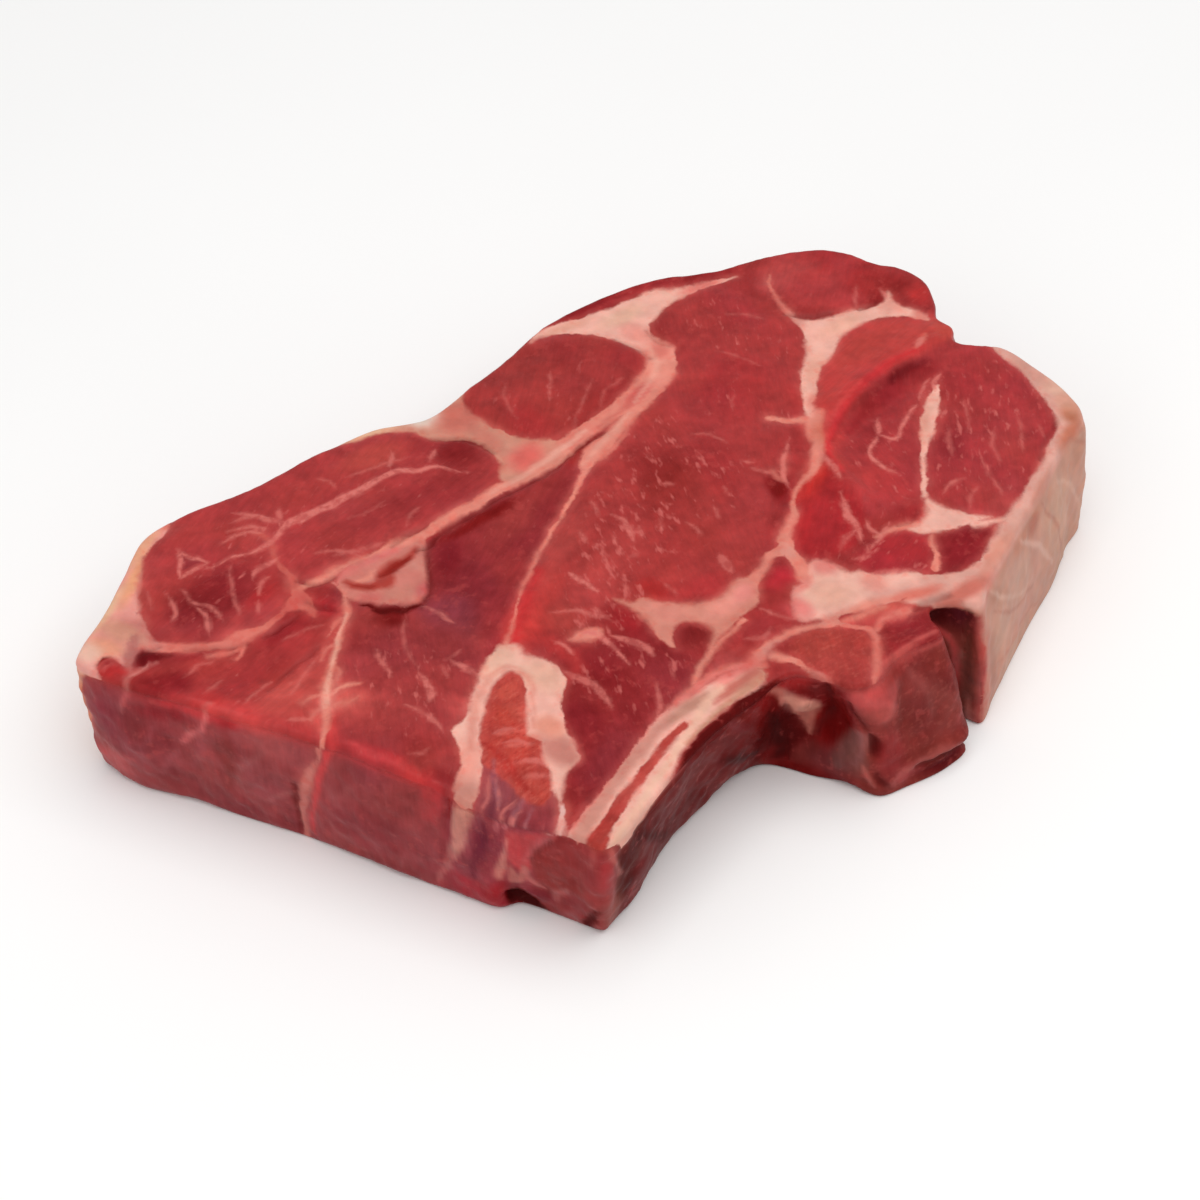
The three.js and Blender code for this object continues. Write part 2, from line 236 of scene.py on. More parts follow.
# The edge it rests on is more rounded in places: along, half length, radius.
FOOT_ROUNDINGS = [
    (6, 8, 3.2), (36, 10, 3.2), (90, 25, 1.8), (122, 8, 2.4), (141, 7, 2.8), (165, 5, 2.8),
    (205, 32, 5.5), (234, 14, 6.5), (268, 5, 3.2), (350, 20, 1.8), (500, 12, 3), (560, 40, 3.5),
    (640, 40, 3), (720, 40, 3.5), (790, 30, 3),
]
# Crest of the fold in the right muscles: x, y, width.
FOLD_RIDGE = [
    (67, -34, 2), (67, -22, 3), (70, -13, 4), (76, -6.5, 5), (86, -0.5, 5), (98, 2.6, 5),
    (110, 4, 4.5), (122, 4.5, 3.5), (134, 6, 2),
]
FOLD_HEIGHT = 0.9
DOME_HEIGHT = 0.75              # lean swells this far above its fat edges
DOME_RUN = 3.2                  # within this distance
FAT_HEIGHT = 0.12
VEIN_HEIGHT = 0.1
CREASE_DEPTH = 1.20
LEAN_ROUGHNESS = 0.10
BONE_ROUGHNESS = 0.34
WALL_ROUGHNESS = 0.3
WALL_RELIEF = 0.8               # share of the relief that the walls have

# ---------------------------------------------------------------- colours

# Fat, bone and gristle (sRGB, 0 to 255).
CREAM = (246, 183, 167)
SALMON = (232, 140, 124)
PINK = (222, 122, 110)
ROSE = (208, 100, 92)
TAN = (216, 146, 126)
# Fat on the side of the outside fat: darker than on the cut face, partly painted shade of the side.
SIDE_FAT = (206, 148, 128)
RIM_FAT = (230, 169, 155)
DULL_PINK = (218, 138, 122)
ORANGE = (226, 146, 116)
TIP_FAT = (238, 158, 147)
WHITE = (240, 214, 200)
PALE_ROSE = (236, 190, 182)
GRISTLE = (214, 128, 116)

# Lean.
LEAN = (163, 54, 54)
BLOOM = (198, 48, 50)
DEEP = (142, 44, 48)
# Painted shade in a small hole in the backbone's face.
PAINTED_HOLE_SHADE = (78, 27, 28)
MAROON = (140, 52, 58)
PURPLE = (142, 70, 80)
MARROW = (198, 78, 68)
RIB_RED = (188, 70, 60)
SPONGY_RED = (172, 66, 60)

# ------------------------------------------------------- fat on the cut face

# Bands of fat: colour, then (x, y, width) along the middle.
TOP_FAT_BANDS = [
    # From the left tip under the long back muscle to the blade cartilage.
    (PINK, [(-136, 52, 4), (-134, 49, 4.4), (-131, 46.2, 3.6), (-125, 42, 3.2), (-119, 38.5, 3),
        (-113, 37, 4), (-108, 35.5, 3), (-100, 36, 1.8), (-95, 38, 2), (-91, 39, 3)]),
    (PINK, [(-124, 36.5, 1.3), (-118, 35, 1.3), (-113, 34.5, 1.5), (-118, 31.5, 0.8)]),
    (ROSE, [(-85, 67, 1.2), (-85, 61, 1.6), (-87, 57, 1.5), (-88, 53, 1.6), (-88, 47, 2),
        (-90, 41, 3.2), (-90.5, 36, 3.8), (-91, 32, 3), (-92, 29.5, 1)]),
    (PINK, [(-98, 37, 1.5), (-93, 36, 3), (-91, 34, 3.5)]),
    (SALMON, [(-90, 41, 2.5), (-84, 40.5, 2), (-79, 40, 2.5), (-72, 40.5, 2), (-66, 39.5, 2),
        (-60, 38.5, 3.4), (-55, 37.5, 5), (-50, 37, 4.5)]),
    # Along the long back muscle and on round the oval one.
    (SALMON, [(-52, 37, 4.4), (-44, 37.4, 3.4), (-35, 37.8, 3.4), (-25, 38, 3.8), (-15, 38.5, 4.2),
        (-5, 39, 5.5), (3, 40, 7), (12, 41.5, 7), (22, 42.7, 5.5), (32, 44, 6), (42, 45.5, 7.5),
        (50, 47.5, 9), (57, 51, 10), (62, 56, 8.5), (62.5, 62, 7), (62, 68, 8)]),
    # The white line between the dark muscle and the large middle one.
    (SALMON, [(-57, -16, 1), (-50, -10, 0.5), (-44, -4.6, 0.4), (-38, 0, 0.5), (-27, 8, 0.8),
        (-15, 15, 1), (-3, 21.5, 1.2), (4, 26, 1.6), (10, 30, 3.2), (15, 33, 6), (20, 34.5, 6.5),
        (26, 36.5, 4.6), (33, 39, 4.6), (42, 42, 5), (50, 44.5, 5)]),
    (PINK, [(17, 30.5, 1.2), (22, 31.6, 1.8), (28, 34.5, 1.4), (33, 37.5, 1)]),
    # Up and down from the Y of fat on the right.
    (PINK, [(107, 45, 1.8), (108, 50, 1.8), (109.5, 55, 1.4), (112, 60, 1.1), (116, 65, 0.8)]),
    (SALMON, [(80, 3, 4.5), (75, -2, 4.5), (72, -7, 3.6), (67, -12.5, 4), (62, -15.5, 2.5),
        (55, -18, 1.4), (48, -22, 1.4), (45, -26, 2.5), (40, -29, 2.5), (36, -32, 4), (33, -36, 5),
        (28, -35, 3), (22, -38, 2.5), (16, -40, 3.4), (11, -44, 3)]),
    (SALMON, [(35, -33, 3), (33, -38, 4), (32, -43, 4), (30, -49, 5)]),
    (SALMON, [(67, 11.5, 1.5), (70, 8, 2.4), (73, 5, 2.6), (77, 2, 3)]),
    (PINK, [(52, -8, 0.8), (52, -13, 1.3), (56, -9, 1), (60, -5, 0.7)]),
    # Pale edge of the slab of outside fat.
    (RIM_FAT, [(26, -62, 8), (35, -65, 9), (45, -69, 8), (55, -73, 7.5), (65, -77, 5), (75, -77.5, 4.5),
        (88, -72, 4.5), (100, -67, 4), (112, -62.5, 4), (125, -56, 4)]),
    # The streak that runs into the right muscle from the star of fat, and the star's tails.
    (CREAM, [(82, -45, 1.8), (86.4, -39.3, 1.5), (92.5, -33, 1.5), (98, -28, 2.4), (103, -23.6, 4),
        (108, -19.4, 4.8), (113.2, -15.2, 4.4), (117.6, -11.8, 2.2), (120.4, -9.8, 0.7)]),
    (SALMON, [(71, -59, 1), (69, -62, 1.4), (66, -66, 1.7), (62, -70, 2.4)]),
    (SALMON, [(57, -49.5, 1), (62, -50, 1.6), (66, -51, 2.2), (71, -53, 3)]),
    (CREAM, [(84, -63, 3), (90, -66.5, 2), (97, -68.5, 1.6)]),
    # The seam from the cartilage down to the rim of the sawn end.
    (SALMON, [(-79.6, 37, 1.2), (-79.8, 31, 1.4), (-81.7, 27, 1.7), (-84.8, 23.4, 1.8),
        (-88.2, 20.5, 1.4), (-92, 17, 2), (-96, 13.5, 1.5), (-100, 9.6, 2.2), (-103, 6.5, 2.4),
        (-107, 3, 3.2), (-109.5, -1, 2.6), (-112, -6, 2.2), (-116, -10.5, 1.6), (-120, -14, 1.6)]),
    (PINK, [(-84.6, 23.4, 0.6), (-89, 23.4, 1.2), (-93, 21, 0.6)]),
    (PINK, [(-92, 17, 0.6), (-96, 17.4, 1.1), (-100, 15, 0.5)]),
    (PINK, [(-98, 11, 0.6), (-98, 7.4, 1.1), (-101, 5.4, 0.5)]),
    (PINK, [(-110, -2, 0.8), (-113.4, -1.6, 1.2), (-116, -3, 0.5)]),
    # Its branches near the rim.
    (SALMON, [(-109, 1, 1), (-104, 1.6, 1.8), (-100, 1, 1.6), (-97, -0.6, 0.6)]),
    (PINK, [(-108, -3, 1), (-104, -4.4, 1.2), (-100, -4.4, 0.5)]),
    (PINK, [(-107, 3, 1), (-111, 4, 1.4), (-114, 3.4, 0.5)]),
    # Pale outlines round the backbone's top.
    (SALMON, [(1, -66, 3), (4, -72, 2.4), (6, -78, 2.2), (8.5, -85, 2.2), (9, -90, 2)]),
    (SALMON, [(-6, -66, 3.4), (-2, -64, 3), (5, -62.5, 2.2), (12, -62.7, 2), (18, -65, 2.2),
        (24, -67.5, 3)]),
    (PINK, [(24, -68, 1.6), (28, -73, 1.8), (30, -78, 2), (27, -82, 1.6), (22, -87, 2.4),
        (18, -91, 2)]),
    (PINK, [(30, -78, 1.5), (34, -75.5, 1.6), (39, -76, 2.4), (44, -78, 3)]),
    # Rough fat over the rib's far end.
    (PINK, [(-33, -64, 3), (-26, -62, 3), (-20, -62, 3), (-14, -62, 2.4), (-9, -64, 3), (-4, -67, 3)]),
    (SALMON, [(-24, -60.5, 1.2), (-17, -57, 1.4), (-11, -54, 1.3), (-4, -52, 1.2), (4, -50.5, 1.6)]),
]

# Patches of fat: colour, then the outline.
TOP_FAT_PATCHES = [
    # Round the left tip.
    (TIP_FAT, [(-99, 93), (-101.5, 90), (-106.3, 86.4), (-112.4, 83.4), (-118.6, 79.6), (-123.4, 73.7),
        (-127.9, 66.7), (-131.4, 59.5), (-133.2, 52), (-132, 46.5), (-135, 47), (-138, 51), (-141, 50),
        (-143.5, 47), (-145.5, 48), (-146, 52), (-148.5, 54), (-152, 51.5), (-154.5, 46), (-160, 50),
        (-158, 62), (-140, 74), (-127, 82), (-113, 94)]),
    # Between the long back muscle and the oval one.
    (TAN, [(-46, 88.4), (-41, 84.4), (-35, 83), (-30, 81.6), (-26, 79), (-22.4, 76), (-20, 70.8),
        (-16, 66.5), (-10.5, 61.5), (-8.5, 55), (-10, 47), (-14.5, 41), (-10, 37.5), (0, 37), (12, 39),
        (10, 45), (5, 49), (1, 54.5), (-1.5, 62), (-2.2, 70), (-1.5, 78), (2, 82), (8, 88), (-5, 88),
        (-20, 89), (-34, 91)]),
    # Wedge between the oval muscle, the back strip and the middle muscle.
    (CREAM, [(32, 87.5), (38, 87), (43, 84.5), (48, 80), (52, 76), (55, 70), (57.5, 63), (58, 58),
        (55, 53.5), (60, 50), (66, 54), (66.5, 58), (65, 62), (66, 66), (70, 70.5), (76, 73), (84, 74),
        (92, 73.5), (100, 72), (106, 71), (100, 74), (92, 76.5), (86, 79), (80, 82.5), (70, 84.5),
        (60, 85.5), (52, 87), (45, 89.5), (38, 90)]),
    # The Y on the right.
    (CREAM, [(106.5, 45.5), (108, 42), (112, 39), (117, 36.5), (122, 35), (127, 34), (130, 32),
        (135, 31), (140, 33.5), (138, 30), (138, 26), (140, 22), (142, 17), (140, 15), (137, 20),
        (133, 23.5), (128, 26), (120, 27), (112, 26.5), (108, 24), (103, 21.5), (96, 18.5), (91, 14.5),
        (87, 11), (83, 7), (80, 3.5), (77, 1), (78, 6), (82, 11), (85, 15.5), (90, 21), (96, 26),
        (100, 30), (103, 34), (105, 38), (106, 42)]),
    # Triangle in the lower middle.
    (DULL_PINK, [(-20, -20), (-17.5, -24), (-13, -25), (-11, -29), (-7, -32), (-4, -36.5), (1, -38.5),
        (7, -38.5), (13, -37), (17, -39), (14, -45), (11, -48), (5, -49), (0, -50), (-6, -51.5),
        (-11, -54), (-16, -57), (-24, -60.5), (-20, -57), (-11, -52.5), (-7, -49.5), (-6, -45),
        (-8, -41.5), (-12, -40), (-16, -42), (-18.5, -46), (-20, -42), (-19, -34), (-18.5, -28)]),
    # Edge of the slab of outside fat, out to the rim.
    (RIM_FAT, [(45, -74), (54, -73), (62, -76.5), (72, -76.5), (84, -72.5), (96, -66.5), (110, -60.5),
        (124, -54), (135, -47.5), (139.5, -41), (142.5, -32), (145.5, -20), (146.5, -8), (152, -3),
        (158, -20), (156, -42), (146, -56), (118, -70), (83, -87), (62, -95), (57, -86)]),
    # Cream patch above the backbone.
    (CREAM, [(17.6, -56), (21, -52.4), (24.4, -49.4), (29.4, -49.4), (33, -45.6), (37, -45),
        (39.6, -49), (40.4, -54), (44.4, -57), (46.4, -61), (52, -64.5), (57, -68.6), (54, -73),
        (47, -71), (41, -67), (36, -68.6), (30, -66.6), (24, -66.5), (20.6, -63.6), (16.6, -60.6)]),
    # Star in the right muscles.
    (CREAM, [(67, -52.8), (72, -53), (76, -51), (79, -48.5), (82, -46), (82.4, -50), (83.5, -54.5),
        (87, -60), (90.5, -64), (86, -63), (80, -61.5), (74, -59), (70, -56.5)]),
    (SALMON, [(-40, -25), (-36, -24.5), (-33, -25.5), (-31, -28), (-32, -30), (-36, -29.5),
        (-38, -27.5)]),
    # Blade cartilage.
    (GRISTLE, [(-80, 28.3), (-80.2, 31.5), (-79.6, 35), (-77.4, 38.6), (-71, 40.3), (-64, 39.5),
        (-56, 38), (-48.6, 36.4), (-52.4, 29.5), (-56.6, 23), (-61, 16.8), (-64, 15), (-67.6, 15.6),
        (-71.6, 18.2), (-75.4, 21.8), (-78.4, 25.6)]),
    # The front bone, out to its pale shell.
    (CREAM, [(-108, -57), (-100, -49.5), (-96, -46), (-91, -40.5), (-89.5, -36), (-88, -32), (-85, -31),
        (-81, -29.5), (-77, -26), (-73, -22.5), (-69.5, -20), (-66, -17.5), (-62, -15.5), (-57, -14.5),
        (-54, -17), (-54, -21), (-51.5, -26), (-50, -31), (-50.5, -35), (-52, -38.5), (-55, -40),
        (-58, -43), (-60, -46.5), (-62, -50), (-63.5, -54), (-65, -59), (-67, -62.5), (-70, -63.5),
        (-75, -65.5), (-78.5, -69), (-81, -72), (-83, -76.5), (-88, -80.5), (-91, -77.5), (-96, -72),
        (-104, -64)]),
    # White end of the sawn bone's shell.
    (PALE_ROSE, [(-83, -70), (-80, -71.6), (-82.5, -76), (-88, -80.5), (-92, -79), (-89.5, -75),
        (-86, -72)]),
    # The sawn rib.
    (CREAM, [(-90, -84), (-80, -79), (-70, -75.5), (-60, -72), (-50, -67.5), (-40, -64), (-30, -62.3),
        (-20, -62.8), (-12, -63.5), (-6, -66), (-5, -70.5), (-9, -72.8), (-22, -73.4), (-35, -75.8),
        (-46, -79.6), (-56, -86), (-66, -92), (-78, -96)]),
]

# What lies inside a patch and isn't fat: colour, how spongy (0 to 1), then the outline.
TOP_HOLES = [
    (PURPLE, 0.0, [(-86.5, -45), (-90, -48.5), (-94.5, -53), (-101, -56), (-108, -59), (-108, -70),
        (-96, -80), (-86, -76.5), (-81, -70.5), (-79, -62), (-82, -52)]),
    (MARROW, 0.5, [(-88.5, -47), (-86, -42), (-82.5, -37), (-79, -33), (-74, -29), (-70, -25.8),
        (-66, -24.6), (-61.5, -25), (-60, -27), (-61, -31), (-64, -35.5), (-66.5, -38.5), (-70.5, -43),
        (-73, -47.5), (-71, -51), (-74, -55), (-75.5, -58.5), (-77.5, -62.5), (-80.5, -66.5),
        (-83.5, -67.5), (-86, -62), (-86.6, -56), (-87, -51)]),
    (RIB_RED, 0.2, [(-89, -88.4), (-80, -85), (-70, -80.9), (-60, -77.2), (-50, -73.4), (-42, -70.8),
        (-35, -69.4), (-34.6, -70.6), (-41, -73.2), (-51, -77.2), (-61, -81.4), (-71, -85.6),
        (-84, -91.6)]),
    (SPONGY_RED, 0.3, [(7.5, -92), (7.5, -84), (5.5, -76), (5.5, -70), (9, -65.5), (14, -64.6),
        (20, -67), (24, -71), (28, -76), (26, -80), (22, -84.5), (17, -89), (15, -93)]),
    (DEEP, 0.15, [(24, -90), (28, -84), (31, -79), (36, -77.5), (42, -79), (47, -82), (48, -88),
        (44, -94), (34, -94)]),
    (MAROON, 0.0, [(-108.5, 73.5), (-111.5, 67.8), (-108, 67), (-105.5, 68)]),
]

# Stains in the fat, redder, browner or paler than it, and painted shade on the rim at the right corner:
# x, y, half length, half width, turn, colour, strength.
FAT_STAINS = [
    (-16, 78.6, 6, 4, -25, WHITE, 1.0), (-31, 84, 11, 3, -10, (238, 186, 154), 0.95),
    (0, 83, 9, 2.5, 8, (240, 206, 176), 0.9), (-5, 73, 7, 6, 60, (206, 106, 96), 0.7),
    (-9, 72, 7, 6, 70, (205, 112, 98), 0.8), (-6, 60, 3, 9, 0, (206, 118, 104), 0.6),
    (-2, 45, 7, 5, 20, (226, 104, 96), 0.9), (44, 46, 7, 2, 15, (214, 84, 80), 0.9),
    (14, 42, 9, 3, 5, (222, 120, 106), 0.5), (56, 49, 6, 4, 45, (236, 148, 132), 0.7),
    (-134, 56, 4, 8, 20, (206, 124, 116), 0.9), (-139, 60, 3.5, 9, 20, (216, 152, 130), 0.9),
    (-146, 57, 4, 6, 30, (234, 158, 130), 0.9), (-151, 58, 4, 6, 10, (240, 190, 170), 0.9),
    (-153, 51, 3, 4, 10, (236, 168, 156), 0.8), (-124, 75.5, 12, 2.6, 38, (238, 164, 124), 0.9),
    (-138, 69.5, 10, 2.4, 30, (238, 188, 154), 0.9), (-116, 84.5, 10, 2, 28, (240, 176, 140), 0.8),
    (-124, 71, 6, 2, 60, (214, 130, 118), 0.7), (-103, 88.5, 4, 2, -10, (226, 116, 100), 0.7),
    (-72, 38, 8, 1.6, 4, (224, 124, 116), 0.8), (-62, 37.6, 6, 1.6, -8, (226, 122, 118), 0.8),
    (-66, 20.6, 9, 3.4, -25, (208, 130, 116), 0.95), (-56, 27, 3, 7, 30, (214, 138, 124), 0.8),
    (-60.6, 18.4, 4, 2.4, 30, (208, 98, 100), 0.7), (-75, 24.6, 4, 2, -40, (212, 108, 102), 0.7),
    (-96, 37, 7, 3, 10, (198, 84, 80), 0.7), (-92, 45, 5, 3, 60, (206, 92, 86), 0.6),
    (-93, -45, 10, 4, 45, (240, 158, 142), 0.8), (-99.5, -52.6, 7, 5, 45, (202, 134, 120), 0.95),
    (-83, -30, 6, 3, 30, (240, 186, 170), 0.7), (-62, -19, 8, 4, 20, (238, 182, 160), 0.8),
    (-56, -31, 5, 9, 15, (230, 176, 154), 0.8), (-69, -57, 5, 7, 15, (204, 132, 120), 1.0),
    (-66, -48, 4, 5, 20, (234, 152, 130), 0.9), (-75, -49, 4, 3, 0, (226, 98, 80), 0.6),
    (-86, -76, 4, 5, 20, (228, 162, 150), 0.8), (-97, -68, 7, 5, -50, (150, 78, 84), 0.9),
    (-15, -65, 5, 2, 20, (240, 140, 130), 0.9), (-97, -69, 7, 2, -52, (196, 120, 116), 0.6),
    (-6, -64, 5, 3, 20, (206, 98, 92), 0.6), (-30, -64, 6, 2, 0, (206, 138, 124), 0.7),
    (3, -64, 5, 2, 5, (206, 134, 124), 0.7), (6, -82, 2, 5, -10, (222, 140, 128), 0.8),
    (30, -58, 9, 6, -30, (238, 178, 158), 0.9), (37.4, -48.6, 4, 4, 30, (226, 124, 116), 0.8),
    (20, -57, 3.4, 5, -20, (228, 120, 114), 0.8), (24, -66, 6, 2, -20, (214, 136, 122), 0.7),
    (26, -50.4, 5, 2, 10, (226, 130, 122), 0.7), (44, -62.6, 4, 4, 0, (232, 148, 134), 0.8),
    (36, -69, 9, 2.5, -12, (230, 138, 120), 0.8), (50, -74, 8, 2.5, -18, (218, 104, 88), 0.7),
    (62, -82, 12, 3, 0, (206, 112, 98), 0.9), (82, -76, 12, 2.5, 22, (218, 146, 128), 0.9),
    # (136, -52.5) and (143, -46): orange-brown painted shade along the rim at the right corner.
    (110, -66, 16, 2, 26, (216, 146, 128), 0.9), (136, -52.5, 8, 2.5, 26, (204, 122, 98), 0.9),
    (143, -46, 4, 3, 40, (190, 108, 80), 0.8), (148, -34, 5, 4, 80, (232, 182, 160), 0.8),
    (146, -42, 5, 4, 70, (226, 162, 138), 0.7), (148, -24, 9, 3, 88, (214, 152, 136), 0.7),
    (103, -22, 9, 2, 42, (222, 152, 134), 0.6), (117, 31, 9, 4, 0, (242, 178, 156), 0.8),
    (96, 21, 8, 3, 40, (240, 168, 148), 0.7), (84, 8, 5, 2.5, 45, (226, 132, 118), 0.8),
    (137, 28, 5, 4, 0, (228, 150, 136), 0.7), (140, 18, 3, 3, 0, (220, 118, 106), 0.7),
    (107, 42, 2, 4, 0, (224, 146, 134), 0.7), (62, 70, 4, 7, 10, (236, 152, 138), 0.8),
    (46, 86, 8, 2, -10, (236, 168, 146), 0.7), (64, 79, 9, 4, 0, (232, 180, 156), 0.8),
    (94, 74.5, 8, 2, -12, (230, 122, 112), 0.8), (62, 58, 4, 5, 30, (226, 120, 108), 0.8),
    (-12, -33, 4, 7, 25, (224, 138, 124), 0.7), (3, -43, 8, 3.5, 5, (238, 152, 138), 0.8),
    (11, -42, 4, 3, 20, (238, 140, 132), 0.7), (76, -4, 5, 3, 50, (206, 110, 90), 0.6),
    (33, -37, 4, 3, 40, (230, 158, 144), 0.7), (-107, 0, 5, 3, 0, (238, 142, 130), 0.8),
    (-94, 15, 6, 2, 45, (226, 150, 132), 0.7), (-82, 26, 4, 2, 30, (214, 132, 118), 0.6),
]

# ------------------------------------------------------- veins on the cut face

